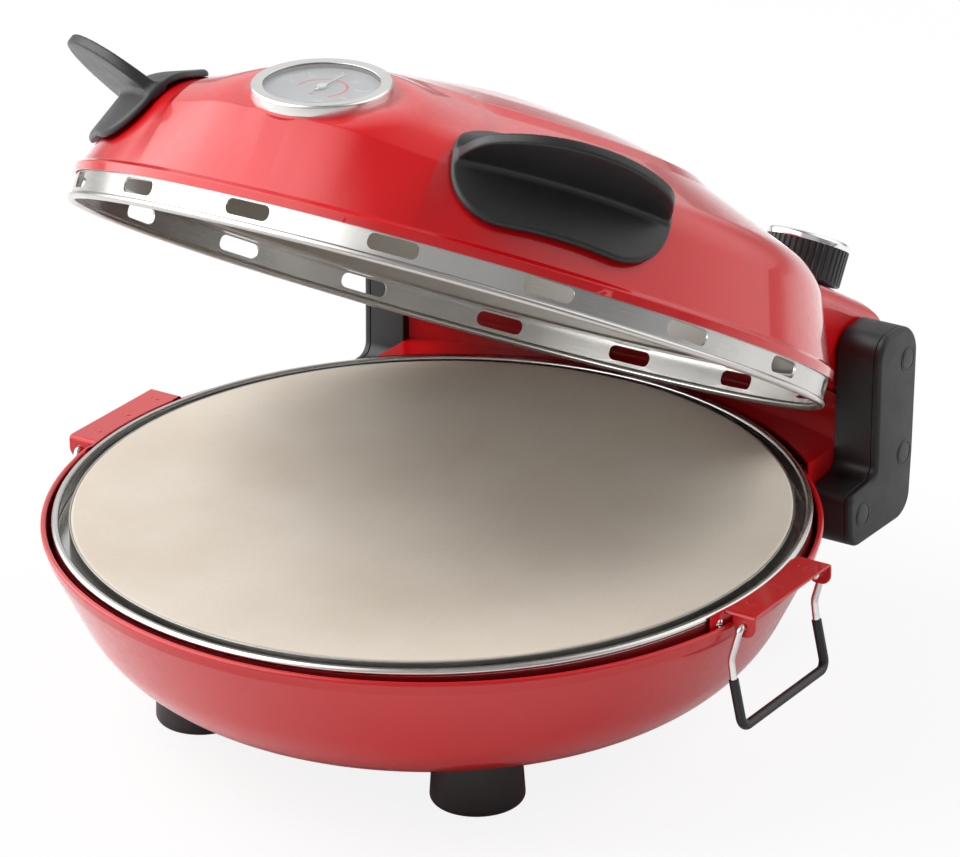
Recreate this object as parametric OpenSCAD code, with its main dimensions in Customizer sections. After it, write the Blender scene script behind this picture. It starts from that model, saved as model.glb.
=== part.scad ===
// Electric pizza maker: a red bowl with a round baking stone, and a domed lid hinged at the back.
// Everything is drawn in its rest position, with the lid partly open. Millimetres, +Z up, table at z = 0.

/* [Placement] */
// How far the bowl's axis stands in front of the middle of the footprint
axis_forward = 16.66; // [0:0.01:30]
// Height of the baking stone's top above the table
stone_top = 93; // [92:0.5:96]

/* [Stone and pan] */
// Diameter of the baking stone
stone_d = 320; // [314:1:322]
// Thickness of the baking stone
stone_t = 12; // [8:0.5:12]
// Outer diameter of the rolled steel rim round the stone
rim_d = 337.4; // [336.8:0.1:337.6]
// Radius of a heating element's tube
element_r = 3.3; // [2.5:0.1:3.5]

/* [Bowl] */
// Outer diameter of the bowl at its lip
bowl_d = 347; // [346.8:0.1:347.4]
// Thickness of the bowl's sheet
bowl_wall = 1.2; // [0.8:0.1:1.2]
// Diameter of a foot at the table
foot_d = 42; // [34:1:44]
// Distance of the feet from the middle plane
foot_x = 73.7; // [66:0.1:76]
// Distance of the front and back feet from the bowl's axis
foot_y = 76.7; // [66:0.1:80]

/* [Lid] */
// How far the lid is open at rest, in degrees
lid_open = 30.4; // [0:0.1:60]
// Outer diameter of the lid's rolled steel hem
lid_d = 343.6; // [343:0.1:343.8]
// Number of vent slots in the lid's steel skirt
slot_count = 16; // [8:1:18]
// Length of a vent slot
slot_w = 22; // [12:0.5:26]
// Height of a vent slot
slot_h = 7; // [6:0.1:7.2]
// Thickness of the lid's sheet
lid_wall = 1.2; // [0.8:0.1:1.2]

/* [Hinge] */
// Distance of the hinge axis behind the bowl's axis
hinge_y = 168.25; // [168:0.05:169]
// Height of the hinge axis above the stone
hinge_up = 20.8; // [20:0.1:21.5]
// Radius of a hinge pin
pin_r = 4; // [3:0.5:4]
// Inner face of a hinge arm, from the middle plane
arm_in = 118; // [117.8:0.1:119]
// Outer face of a hinge arm, from the middle plane
arm_out = 141; // [139:0.5:143]

/* [Handles] */
// Turn of the lid's right handle from straight ahead, in degrees
right_handle_turn = 44.4; // [40:0.1:48]
// Turn of the lid's left handle from straight ahead, in degrees
left_handle_turn = 50; // [44:0.5:54]
// Width of a lid handle's plate
handle_w = 97; // [90:1:100]
// Radius of a lid handle's curved fin
fin_r = 56; // [54:0.5:57]

/* [Thermometer and knob] */
// Outer diameter of the thermometer's bezel
bezel_d = 60; // [59:0.5:61]
// Forward tilt of the thermometer in the lid, in degrees
gauge_tilt = 30; // [28:1:31]
// Diameter of the control knob
knob_d = 39; // [36:1:40]
// Height of the control knob without its cap
knob_h = 16; // [14:1:18]

/* [Side brackets] */
// Middle of the side brackets, behind the bowl's axis
bracket_y = 6; // [4:0.1:8]
// Length of a side bracket
bracket_l = 64; // [60:0.5:66]
// Outer edge of a side bracket, from the middle plane
bracket_x = 182.8; // [181:0.1:184]
// Radius of a bail's bare wire
wire_r = 1.6; // [1.4:0.1:1.8]
// Radius of a bail's black sleeve
sleeve_r = 2.2; // [2:0.1:2.4]

/* [Hidden] */

fine = 96;
small = 24;
arc_step = 12;
running_fit = 0.05;
joint_swell = 0.06;

red = "#c51f1f";
black = "#2b2b2b";
steel = "#b9b6b2";
chrome = "#d8d8d8";
stone_colour = "#d9cfc2";
dial_grey = "#b4b4b4";

// ---------- helpers: paths with rounded corners, and sheets along them ----------

function unit(v) = v / norm(v);
function turn(a, b) = a.x * b.y - a.y * b.x;
function left(v) = [-v.y, v.x];

// A corner of radius r at b, on the way from a to c, as points along its arc.
function corner(a, b, c, r) =
  let (
    d1 = unit(b - a),
    d2 = unit(c - b),
    bend = acos(max(-1, min(1, d1 * d2))),
    side = turn(d1, d2) > 0 ? 1 : -1,
    centre = b - d1 * r * tan(bend / 2) + left(d1) * side * r,
    steps = max(1, ceil(bend / arc_step))
  )
  r == 0 || bend < 0.5 ? [b] :
  [for (i = [0:steps]) let (t = side * bend * i / steps)
    centre - side * r * (left(d1) * cos(t) - d1 * sin(t))];

function flat(p) = [p.x, p.y];

// A path through corners that are given as [x, y, radius].
function rounded(p) = [
  for (i = [0:len(p) - 1])
    if (i == 0 || i == len(p) - 1) flat(p[i])
    else each corner(flat(p[i - 1]), flat(p[i]), flat(p[i + 1]), p[i].z)
];

// A closed outline through such corners.
function rounded_loop(p) = let (n = len(p)) [
  for (i = [0:n - 1]) each corner(flat(p[(i + n - 1) % n]), flat(p[i]), flat(p[(i + 1) % n]), p[i].z)
];

// The same path moved to its left by d.
function beside(p, d, loop = false) = let (n = len(p)) [
  for (i = [0:n - 1])
    let (
      after = unit(i < n - 1 ? p[i + 1] - p[i] : loop ? p[0] - p[i] : p[i] - p[i - 1]),
      before = unit(i > 0 ? p[i] - p[i - 1] : loop ? p[0] - p[n - 1] : p[1] - p[0]),
      m = unit(left(before) + left(after))
    )
    p[i] + m * d / (m * left(before))
];

function backwards(p) = [for (i = [len(p) - 1:-1:0]) p[i]];
function sheet(p, t) = concat(p, backwards(beside(p, t)));

module spun(p) rotate_extrude($fn = fine) polygon(p);
module roll(r, z, tube) rotate_extrude($fn = fine) translate([r, z]) circle(tube, $fn = small);

// From the bowl's axis at the stone's top, where all pieces are drawn, to the part's own origin.
module on_axis() translate([0, -axis_forward, stone_top]) children();

// The lid's pieces are drawn closed, and turned open about the hinge.
module in_lid() on_axis() translate([0, hinge_y, hinge_up]) rotate([-lid_open, 0, 0])
  translate([0, -hinge_y, -hinge_up]) children();

module both_sides() {
  children();
  mirror([1, 0, 0]) children();
}

// Extrudes an outline drawn in (y, z) from x = a to x = b.
module along_x(a, b) translate([a, 0, 0]) rotate([90, 0, 90]) linear_extrude(b - a) children();

// Extrudes an outline drawn in (x, z) from y = a to y = b.
module along_y(a, b) translate([0, b, 0]) rotate([90, 0, 0]) linear_extrude(b - a) children();

// A round bar or bore along X or Y.
module bar_x(a, b, r, y, z) translate([a, y, z]) rotate([0, 90, 0]) cylinder(b - a, r = r, $fn = 48);
module bar_y(a, b, r, x, z) translate([x, a, z]) rotate([-90, 0, 0]) cylinder(b - a, r = r, $fn = 48);

module round_rect(w, h, r) polygon(rounded_loop([
  [-w / 2, -h / 2, r], [w / 2, -h / 2, r], [w / 2, h / 2, r], [-w / 2, h / 2, r]
]));

// ---------- base: bowl and feet ----------

table = -stone_top;
bowl_floor = table + 5.5;
lip_z = -4;
bowl_path = rounded([
  [bowl_d / 2, lip_z, 0], [bowl_d / 2 - 1.2, -9.8, 4], [149, -58, 60], [88.5, bowl_floor, 25],
  [0, bowl_floor, 0]
]);
element_ring = 105;
element_gap = 30;
lead_x = element_ring * sin(element_gap / 2);
lower_z = -27;

module bowl_solid(grow = 0) spun(concat(beside(bowl_path, grow), [[0, lip_z]]));
module bowl_room() spun(concat(beside(bowl_path, -bowl_wall), [[0, lip_z]]));
module at_feet() for (x = [-foot_x, foot_x], y = [-foot_y, foot_y]) translate([x, y, table]) children();

module base_bowl() color(red) on_axis() difference() {
  union() {
    spun(sheet(bowl_path, -bowl_wall));
    roll(bowl_d / 2 - 1.4, lip_z - 0.2, 1.4);
    intersection() {
      at_feet() cylinder(30, r = 6, $fn = small);
      bowl_solid();
    }
  }
  at_feet() cylinder(24, r = 2.05, $fn = small);
  for (x = [-lead_x, lead_x]) bar_y(120, 180, element_r + 1, x, lower_z);
}

module feet() color(black) on_axis() difference() {
  at_feet() cylinder(30, r1 = foot_d / 2, r2 = foot_d / 2 - 2, $fn = 64);
  bowl_solid();
  at_feet() cylinder(2.5, r = 6, $fn = small);
  at_feet() cylinder(30, r = 2.05, $fn = small);
}

module foot_screws() color(steel) on_axis() at_feet() {
  translate([0, 0, 0.6]) cylinder(1.9, r = 4.2, $fn = small);
  translate([0, 0, 2.5]) cylinder(20, r = 2, $fn = small);
}

// ---------- base: the box and deck behind the bowl ----------

box_x = arm_in;
box_back = 184;
box_low = -44;
deck_top = -2.6;
sheet_t = 1.2;
hump_x = 112;
hump_back = 179;
hump_r = 327;
hump_front = 176.5;
hump_top = 20.7;
gland_x = -62;
gland_z = -24;
arm_screw_at = [[176, 36], [173.5, -9], [137, -26]];
deck_hole_r = bowl_d / 2 + 0.3;

module box_block(inset, low, high) translate([-box_x + inset, 90, low])
  cube([2 * (box_x - inset), box_back - inset - 90, high - low]);

module rear_box() color(red) on_axis() difference() {
  box_block(0, box_low, deck_top - sheet_t);
  box_block(1.5, box_low - 1, 1);
  bowl_solid(0.1);
  translate([0, 0, -10]) cylinder(20, r = deck_hole_r, $fn = fine);
  for (s = arm_screw_at) if (s.y < 0) bar_x(-box_x - 1, box_x + 1, 1.9, s.x, s.y);
  bar_y(box_back - 5, box_back + 5, 6, gland_x, gland_z);
}

module hump_plan(inset) intersection() {
  translate([-hump_x + inset, 140]) square([2 * (hump_x - inset), hump_back - inset - 140]);
  difference() {
    square(400, center = true);
    translate([0, hump_front - hump_r]) circle(hump_r + inset, $fn = fine);
  }
}

module hump_front_sheet() translate([0, hump_front - hump_r]) difference() {
  circle(hump_r + sheet_t, $fn = fine);
  circle(hump_r, $fn = fine);
}

module rear_deck() color(red) on_axis() difference() {
  union() {
    difference() {
      box_block(0, deck_top - sheet_t, deck_top);
      translate([0, 0, -10]) cylinder(20, r = deck_hole_r, $fn = fine);
    }
    translate([0, 0, deck_top]) linear_extrude(hump_top - deck_top) {
      hump_plan(0);
      intersection() {
        hump_front_sheet();
        translate([-box_x, 140]) square([2 * box_x, 45]);
      }
    }
  }
  translate([0, 0, deck_top - sheet_t - 1]) linear_extrude(hump_top - deck_top + 1) hump_plan(sheet_t);
}

module rear_floor() color(steel) on_axis() difference() {
  box_block(1.7, box_low, box_low + 1.2);
  bowl_solid(0.4);
  for (i = [-3:3]) translate([i * 14 - 1.5, 162, box_low - 1]) cube([3, 14, 4]);
}

module cord_gland() color(black) on_axis() difference() {
  union() {
    bar_y(box_back, box_back + 3, 9, gland_x, gland_z);
    bar_y(box_back - 1.5, box_back, 5.95, gland_x, gland_z);
    bar_y(box_back - 4, box_back - 1.5, 7.5, gland_x, gland_z);
  }
  bar_y(box_back - 5, box_back + 4, 3.6, gland_x, gland_z);
}

module terminal_block() color("#e8e4da") on_axis() translate([88, 166, box_low + 1.2]) difference() {
  translate([-19, -8, 0]) cube([38, 16, 15]);
  for (i = [-1:1]) translate([i * 12, 0, 4]) cylinder(20, r = 2.2, $fn = small);
}

// ---------- base: rolled rim, pan, lower element and stone ----------

rim_r = rim_d / 2;
rim_roll_r = 1.7;
seat = -stone_t;
pan_t = 0.8;
pan_floor = -40;
bracket_screw_y = [-29, 41];
bracket_screw_z = -8.2;
rim_wall = rim_r - 0.5;
band_gap = 0.05;
band_t = 0.8;

function screw_turn(y) = asin(y / rim_r);
module at_bracket_screws() for (y = bracket_screw_y, m = [0, 1]) mirror([m, 0, 0])
  rotate([0, 0, screw_turn(y)]) translate([0, 0, bracket_screw_z]) rotate([0, 90, 0]) children();

module rim_ring() color(steel) on_axis() difference() {
  union() {
    spun(sheet(rounded([
      [rim_wall, -4, 0], [rim_wall, seat - pan_t, 1.5], [stone_d / 2 - 6, seat - pan_t, 0]
    ]), -pan_t));
    roll(rim_r - rim_roll_r, -1.7 - rim_roll_r, rim_roll_r);
    at_bracket_screws() translate([0, 0, rim_wall - 1]) cylinder(1.1, r = 3.5, $fn = small);
  }
  at_bracket_screws() translate([0, 0, rim_wall - 5]) cylinder(10, r = 1.65, $fn = small);
}

module steel_pan() color(steel) on_axis() difference() {
  spun(sheet(rounded([
    [rim_wall - 3, seat - 2 * pan_t, 0], [150, seat - 2 * pan_t, 2], [142, pan_floor, 6],
    [0, pan_floor, 0]
  ]), -pan_t));
  for (x = [-lead_x, lead_x]) bar_y(90, 160, element_r + 0.5, x, lower_z);
}

module pan_posts() color(steel) on_axis() for (a = [45:90:315])
  rotate([0, 0, a]) translate([60, 0, bowl_floor + bowl_wall])
    cylinder(pan_floor - bowl_floor - bowl_wall, r = 4, $fn = small);

// A heating element: a ring with a gap at the back, and two leads from its ends.
module element_ring_at(z, tube) rotate([0, 0, 90 + element_gap / 2]) translate([0, 0, z])
  rotate_extrude(angle = 360 - element_gap, $fn = fine) translate([element_ring, 0])
    circle(tube, $fn = small);
element_end = element_ring * cos(element_gap / 2);

module lower_element() color(steel) on_axis() {
  element_ring_at(lower_z, element_r);
  for (x = [-lead_x, lead_x]) {
    translate([x, element_end, lower_z]) sphere(element_r + joint_swell, $fn = small);
    bar_y(element_end, 174, element_r, x, lower_z);
  }
}

module saddles(low, high, z) difference() {
  for (a = [0, 135, 180, 270, 45]) rotate([0, 0, a]) translate([element_ring - 6, -4, low])
    cube([12, 8, high - low]);
  element_ring_at(z, element_r);
}

module lower_element_clips() color(steel) on_axis() saddles(pan_floor + pan_t, lower_z, lower_z);

module baking_stone() color(stone_colour) on_axis() spun(rounded([
  [0, 0, 0], [stone_d / 2, 0, 1.5], [stone_d / 2, seat, 1], [0, seat, 0]
]));

module stone_band() color(steel) on_axis() spun([
  [stone_d / 2 + band_gap, -0.5], [stone_d / 2 + band_gap + band_t, -0.5],
  [stone_d / 2 + band_gap + band_t, seat + 0.4], [stone_d / 2 + band_gap, seat + 0.4]
]);

// ---------- base: hinge arms and their fasteners ----------

arm_split = arm_out - 3.7;
arm_wall = 2.5;
arm_outline = rounded_loop([
  [149.5, -12.5, 6], [126, -14.5, 5], [126.5, -40.5, 9], [179.5, -41, 12], [182.5, -10, 40],
  [186.3, 53.4, 15], [151.8, 52.2, 11]
]);

module arm_section(inset) polygon(beside(arm_outline, inset, loop = true));
module at_arm_screws(a, b, r) for (s = arm_screw_at) bar_x(a, b, r, s.x, s.y);

module arm_inner() color(black) difference() {
  union() {
    difference() {
      along_x(arm_in, arm_split) arm_section(0);
      along_x(arm_in + arm_wall, arm_split + 1) arm_section(arm_wall);
    }
    at_arm_screws(arm_in + 1, arm_split, 4.5);
    bar_x(arm_in + 1, 131, 8, hinge_y, hinge_up);
  }
  at_arm_screws(arm_in - 1, arm_split + 1, 1.9);
  bar_x(arm_in - 1, 130, pin_r + running_fit, hinge_y, hinge_up);
}

module arm_outer() color(black) difference() {
  along_x(arm_split, arm_out) arm_section(0);
  at_arm_screws(arm_split - 1, arm_out + 1, 1.9);
  at_arm_screws(arm_split + 0.9, arm_out + 1, 5.25);
}

module arm_right_inner() on_axis() arm_inner();
module arm_right_outer() on_axis() arm_outer();
module arm_left_inner() on_axis() mirror([1, 0, 0]) arm_inner();
module arm_left_outer() on_axis() mirror([1, 0, 0]) arm_outer();

module arm_screws() color(steel) on_axis() both_sides() for (s = arm_screw_at) {
  bar_x(arm_split + 0.9, arm_split + 2.3, 4, s.x, s.y);
  bar_x(s.y < 0 ? box_x - 3 : arm_split - 12, arm_split + 0.9, 1.8, s.x, s.y);
}

module arm_plugs() color(black) on_axis() both_sides() at_arm_screws(arm_split + 2.3, arm_out, 5.2);

pin_start = hump_x + 1.4;
module hinge_pins() color(steel) on_axis() both_sides() bar_x(pin_start, 130, pin_r, hinge_y, hinge_up);

// ---------- base: side brackets and hanging bails ----------

plate_low = -1.5;
plate_t = 1.2;
tab_t = 1.2;
flange_r = rim_r + 0.1;
flange_t = 1;
flange_low = bracket_screw_z - 3.6;
tab_low = -11;
bail_x = 177;
bail_z = -6;
bail_front = bracket_y - bracket_l / 2;
bail_back = bracket_y + bracket_l / 2;
leg_out = 2.6;

module bracket() color(red) difference() {
  union() {
    translate([160, bail_front, plate_low]) cube([bracket_x - 160, bracket_l, plate_t]);
    for (y = [bail_front, bail_back - tab_t]) along_y(y, y + tab_t) polygon(rounded_loop([
      [bracket_x, plate_low + 0.6, 0], [171.5, plate_low + 0.6, 0], [171.5, -4, 0],
      [173.5, tab_low, 2], [bracket_x, tab_low, 5]
    ]));
    for (y = bracket_screw_y) rotate([0, 0, screw_turn(y) - 2.6]) rotate_extrude(angle = 5.2, $fn = fine)
      translate([flange_r - 1, flange_low]) square([flange_t + 1, plate_low + plate_t / 2 - flange_low]);
  }
  translate([0, 0, -20]) cylinder(40, r = flange_r, $fn = fine);
  bar_y(bail_front - 1, bail_back + 1, wire_r + running_fit, bail_x, bail_z);
  at_bracket_screws() cylinder(200, r = 1.65, $fn = small);
}

module bracket_right() on_axis() bracket();
module bracket_left() on_axis() mirror([1, 0, 0]) bracket();

module bracket_screws() color(chrome) on_axis() at_bracket_screws() {
  translate([0, 0, flange_r + flange_t]) cylinder(0.7, r1 = 2.7, r2 = 2, $fn = small);
  translate([0, 0, rim_wall - 4]) cylinder(flange_r + flange_t - rim_wall + 4, r = 1.6, $fn = small);
}

// A leg of the bail in (x, z), from the tab's hole down to the grip.
leg = [[bail_x, bail_z], [172.6, -21.5], [173.6, -29.5], [178.4, -52.5]];
bail_corner = 4.5;

module rod(a, b, r) let (d = b - a) translate(a)
  rotate([0, acos(d.z / norm(d)), atan2(d.y, d.x)]) cylinder(norm(d), r = r, $fn = small);
function at(p, y) = [p.x, y, p.y];

module bail_path(points, r) {
  for (i = [0:len(points) - 2]) rod(points[i], points[i + 1], r);
  for (i = [1:len(points) - 2]) translate(points[i]) sphere(r + joint_swell, $fn = small);
}

front_leg_y = bail_front - leg_out;
back_leg_y = bail_back + leg_out;
low_leg = leg[3] + (leg[2] - leg[3]) * bail_corner / norm(leg[2] - leg[3]);

function bail_points(first) = concat(
  [for (i = [first:2]) at(leg[i], front_leg_y)], [at(low_leg, front_leg_y), at(leg[3], front_leg_y + bail_corner)],
  [at(leg[3], back_leg_y - bail_corner), at(low_leg, back_leg_y)], [for (i = [2:-1:first]) at(leg[i], back_leg_y)]
);

module bail_wire() color(chrome) bail_path(concat(
  [at(leg[0], bail_front + 5)], bail_points(0), [at(leg[0], bail_back - 5)]
), wire_r);
module bail_sleeve() color(black) difference() {
  bail_path(bail_points(2), sleeve_r);
  bail_path(bail_points(0), wire_r);
}

module bail_right_wire() on_axis() bail_wire();
module bail_right_sleeve() on_axis() bail_sleeve();
module bail_left_wire() on_axis() mirror([1, 0, 0]) bail_wire();
module bail_left_sleeve() on_axis() mirror([1, 0, 0]) bail_sleeve();

// ---------- lid: dome, steel skirt, reflector and upper element ----------

hem_z = 3;
hem_roll = 1.7;
skirt_r = lid_d / 2 - 1.3;
slot_z = 9.8;
dome_low = 15;
dome_path = rounded([
  [172.3, dome_low, 0], [172.3, 19.4, 1.2], [169.8, 20.9, 1.4], [154, 58.4, 28], [101, 79.2, 9],
  [93, 83.7, 7], [66, 89.9, 80], [20, 96.4, 60], [0, 96.4, 0]
]);
gauge_at = [0, -139.7, 66.4];
probe_r = 2.5;
boss_low = -34;
boss_r = [bezel_d / 2 + 1.2, 44];
shoulder_r = [bezel_d / 2 + 8, 47];
shoulder_back = 7;
shoulder_drop = 9;
shoulder_grow = 5.5;
reflector_path = rounded([
  [169.2, 15.7, 0], [157.5, 15.7, 1.5], [147, 43, 18], [98, 61, 14], [88, 70, 10], [30, 76, 40], [0, 76, 0]
]);
upper_z = 44;
thermostat_at = [80.4, 159.3];
handle_screw_at = [-28, 28];

module dome_solid(grow = 0) spun(concat(beside(dome_path, -grow), [[0, dome_low]]));
module at_gauge() translate(gauge_at) rotate([gauge_tilt, 0, 0]) children();
module boss(inset) {
  at_gauge() translate([0, 0, boss_low])
    cylinder(-boss_low - inset, r1 = boss_r[1] - inset, r2 = boss_r[0] - inset, $fn = fine);
  intersection() {
    at_gauge() translate([0, shoulder_back, -shoulder_drop])
      cylinder(shoulder_drop - inset, r1 = shoulder_r[1] - inset, r2 = shoulder_r[0] - inset, $fn = fine);
    dome_solid(shoulder_grow - inset);
  }
}

// Each handle's own frame: +X points outwards from the lid's axis.
module at_handle(side) rotate([0, 0, side > 0 ? -90 + right_handle_turn : -90 - left_handle_turn])
  children();
module at_handle_screws() for (u = handle_screw_at)
  translate([153, u, 53.5]) rotate([0, 45, 0]) children();

module lid_dome() color(red) in_lid() difference() {
  union() {
    dome_solid();
    difference() {
      boss(0);
      translate([-60, -230, -40]) cube([120, 200, 40 + dome_low + 6]);
    }
  }
  difference() {
    union() {
      dome_solid(-lid_wall);
      boss(lid_wall);
    }
    translate([0, 0, -50]) cylinder(50 + dome_low - 1, r = 200);
  }
  translate([0, 0, dome_low - 1]) cylinder(2, r = 172.3 - lid_wall, $fn = fine);
  at_gauge() translate([0, 0, -5]) cylinder(10, r = probe_r + 0.5, $fn = small);
  for (s = [-1, 1]) at_handle(s) at_handle_screws() translate([0, 0, -15])
    cylinder(30, r = 1.9, $fn = small);
  bar_y(130, 170, 7, 60, 34);
}

module lid_skirt() color(steel) in_lid() difference() {
  union() {
    spun([
      [skirt_r, hem_z], [skirt_r, 18.4], [skirt_r - 1, 18.4], [skirt_r - 1, 14.9], [158.6, 14.9],
      [158.6, 14], [skirt_r - 1, 14], [skirt_r - 1, hem_z]
    ]);
    roll(lid_d / 2 - hem_roll, hem_z, hem_roll);
  }
  for (i = [0:slot_count - 1]) rotate([0, 0, i * 360 / slot_count]) translate([160, 0, slot_z])
    rotate([90, 0, 90]) linear_extrude(20) round_rect(slot_w, slot_h, 3);
}

module lid_reflector() color(steel) in_lid() difference() {
  spun(sheet(reflector_path, 0.8));
  at_gauge() translate([0, 0, -40]) cylinder(40, r = probe_r + 1, $fn = small);
  for (x = [-1, 1]) translate([x * lead_x, element_end, 50]) cylinder(40, r = element_r + 1, $fn = small);
}

module upper_element() color(steel) in_lid() {
  element_ring_at(upper_z, element_r);
  for (x = [-lead_x, lead_x]) {
    translate([x, element_end, upper_z]) sphere(element_r + joint_swell, $fn = small);
    translate([x, element_end, upper_z]) cylinder(23, r = element_r, $fn = small);
  }
}

module upper_element_clips() color(steel) in_lid() difference() {
  saddles(upper_z, 70, upper_z);
  spun(concat(beside(reflector_path, 0.8), [[0, 90], [169, 90]]));
}

// ---------- lid: red housing over the hinge ----------

housing_t = 1.5;
housing_x = arm_in - 1;
housing_back = 182;
housing_low = 15.5;
back_low = 29.5;
crown_r = 1500;
crown_z = 63.4;

module housing_block(inset) intersection() {
  along_x(-housing_x + inset, housing_x - inset) polygon(rounded_loop([
    [80, housing_low - inset * 2, 0], [housing_back - inset, housing_low - inset * 2, 0],
    [housing_back - inset, 53.5 - inset, 10], [160, 59.5 - inset, 40], [80, 66 - inset, 0]
  ]));
  along_y(80, housing_back) polygon(rounded_loop([
    [-housing_x + inset, housing_low - inset * 2, 0], [housing_x - inset, housing_low - inset * 2, 0],
    [housing_x - inset, 57.8 - inset, 9], [60, 63 - inset, 400], [-60, 63 - inset, 400],
    [-housing_x + inset, 57.8 - inset, 9]
  ]));
}

module lid_rear_housing() color(red) in_lid() difference() {
  union() {
    difference() {
      housing_block(0);
      housing_block(housing_t);
      translate([-housing_x - 1, hinge_y - 10, -40]) cube([2 * housing_x + 2, 60, 40 + back_low]);
    }
    both_sides() bar_x(pin_start, housing_x, 9, hinge_y, hinge_up);
    both_sides() along_x(housing_x - housing_t, housing_x) polygon([
      [hinge_y - 11, housing_low], [hinge_y - 8.9, hinge_up - 1], [hinge_y + 8.9, hinge_up - 1],
      [housing_back, back_low], [housing_back, back_low + 1], [hinge_y - 11, back_low + 1]
    ]);
  }
  dome_solid(0.1);
  translate([-housing_x - 1, 151.5, 0]) cube([2 * housing_x + 2, hinge_y - 9.2 - 151.5, 22.5]);
  both_sides() bar_x(pin_start - 1, housing_x + 1, pin_r + running_fit, hinge_y, hinge_up);
  translate([thermostat_at.x, thermostat_at.y, 50]) cylinder(30, r = 4.6, $fn = small);
}

// ---------- lid: handles ----------

plate_path = rounded([[124.9, 73, 0], [157.5, 61.2, 24], [173.4, 23.8, 0]]);
plate_h = 54;
plate_at = [150.7, 50.8];
plate_thick = 3;
fin_axis = [138, 47.5];
fin_tilt = 22;
fin_half = 48;

module handle(side) color(black) at_handle(side) difference() {
  union() {
    intersection() {
      rotate([0, 0, -25]) rotate_extrude(angle = 50, $fn = fine)
        polygon(sheet(plate_path, -plate_thick));
      translate([plate_at.x, 0, plate_at.y]) rotate([0, 45, 0]) translate([0, 0, -40])
        linear_extrude(80) round_rect(plate_h, handle_w, 25);
    }
    difference() {
      intersection() {
        translate([fin_axis.x, 0, fin_axis.y]) rotate([0, -fin_tilt, 0]) rotate_extrude($fn = fine)
          polygon([[0, -9], [19, -7.5], [28, -3.2], [fin_r - 1, -2.5], [fin_r, -1.6], [fin_r, 1.6],
            [fin_r - 1, 2.5], [28, 3.2], [19, 7.5], [0, 9]]);
        translate([100, -fin_half, 0]) cube([120, 2 * fin_half, 120]);
      }
      spun(concat(beside(plate_path, -0.5), [[173.4, 0], [0, 0], [0, 73]]));
      translate([0, -100, 0]) cube([140, 200, 100]);
    }
    difference() {
      at_handle_screws() translate([0, 0, -2]) cylinder(9, r = 4.5, $fn = small);
      spun(concat(plate_path, [[240, 23.8], [240, 100], [124.9, 100]]));
    }
  }
  dome_solid(0.3);
  at_handle_screws() translate([0, 0, -15]) cylinder(18.2, r = 1.65, $fn = small);
}

module handle_right() in_lid() handle(1);
module handle_left() in_lid() handle(-1);

module handle_screws() color(steel) in_lid() for (s = [-1, 1]) at_handle(s) at_handle_screws() {
  translate([0, 0, -6]) cylinder(9, r = 1.6, $fn = small);
  translate([0, 0, -8]) cylinder(2, r = 3.2, $fn = small);
}

// ---------- lid: thermometer ----------

bezel_r = bezel_d / 2;
bezel_h = 5.6;
glass_r = 27;
glass_z = 3.8;
glass_t = 1;
face_z = 1.8;

module gauge_bezel() color(chrome) in_lid() at_gauge() spun([
  [bezel_r, 0], [bezel_r, bezel_h - 0.8], [bezel_r - 0.8, bezel_h], [25, bezel_h],
  [24.5, glass_z + glass_t], [glass_r + 0.05, glass_z + glass_t], [glass_r + 0.05, glass_z],
  [28.5, glass_z], [28.5, 0]
]);
module gauge_case() color(steel) in_lid() at_gauge() difference() {
  cylinder(1, r = 28.4, $fn = fine);
  translate([0, 0, -1]) cylinder(3, r = probe_r + running_fit, $fn = small);
}
module gauge_dial() color(dial_grey) in_lid() at_gauge() difference() {
  translate([0, 0, 1]) cylinder(face_z - 1, r = 28.2, $fn = fine);
  cylinder(3, r = 1.3, $fn = small);
}
module gauge_gasket() color(black) in_lid() at_gauge() translate([0, 0, face_z]) difference() {
  cylinder(glass_z - face_z, r = 28.2, $fn = fine);
  translate([0, 0, -1]) cylinder(4, r = 25, $fn = fine);
}
module gauge_needle() color(black) in_lid() at_gauge() {
  translate([0, 0, face_z + 0.3]) cylinder(1.3, r = 2.6, $fn = small);
  translate([0, 0, 1.1]) cylinder(1.2, r = 1.2, $fn = small);
  translate([0, 0, face_z + 0.5]) linear_extrude(0.5) polygon([[-1, -7], [1, -7], [0.5, 20], [-0.5, 20]]);
}
module gauge_glass() color("#cfd8dc") in_lid() at_gauge() translate([0, 0, glass_z])
  cylinder(glass_t, r = glass_r, $fn = fine);
module gauge_probe() color(steel) in_lid() at_gauge() {
  translate([0, 0, -48]) cylinder(49, r = probe_r, $fn = small);
}
module gauge_nut() color(steel) in_lid() at_gauge() translate([0, 0, -lid_wall - 3]) difference() {
  cylinder(3, r = 6, $fn = 6);
  translate([0, 0, -1]) cylinder(5, r = probe_r + running_fit, $fn = small);
}

// ---------- lid: thermostat and knob ----------

shaft_r = 3;
knob_low = 64.4;
knob_top = knob_low + knob_h;
knob_r = knob_d / 2;

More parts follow.
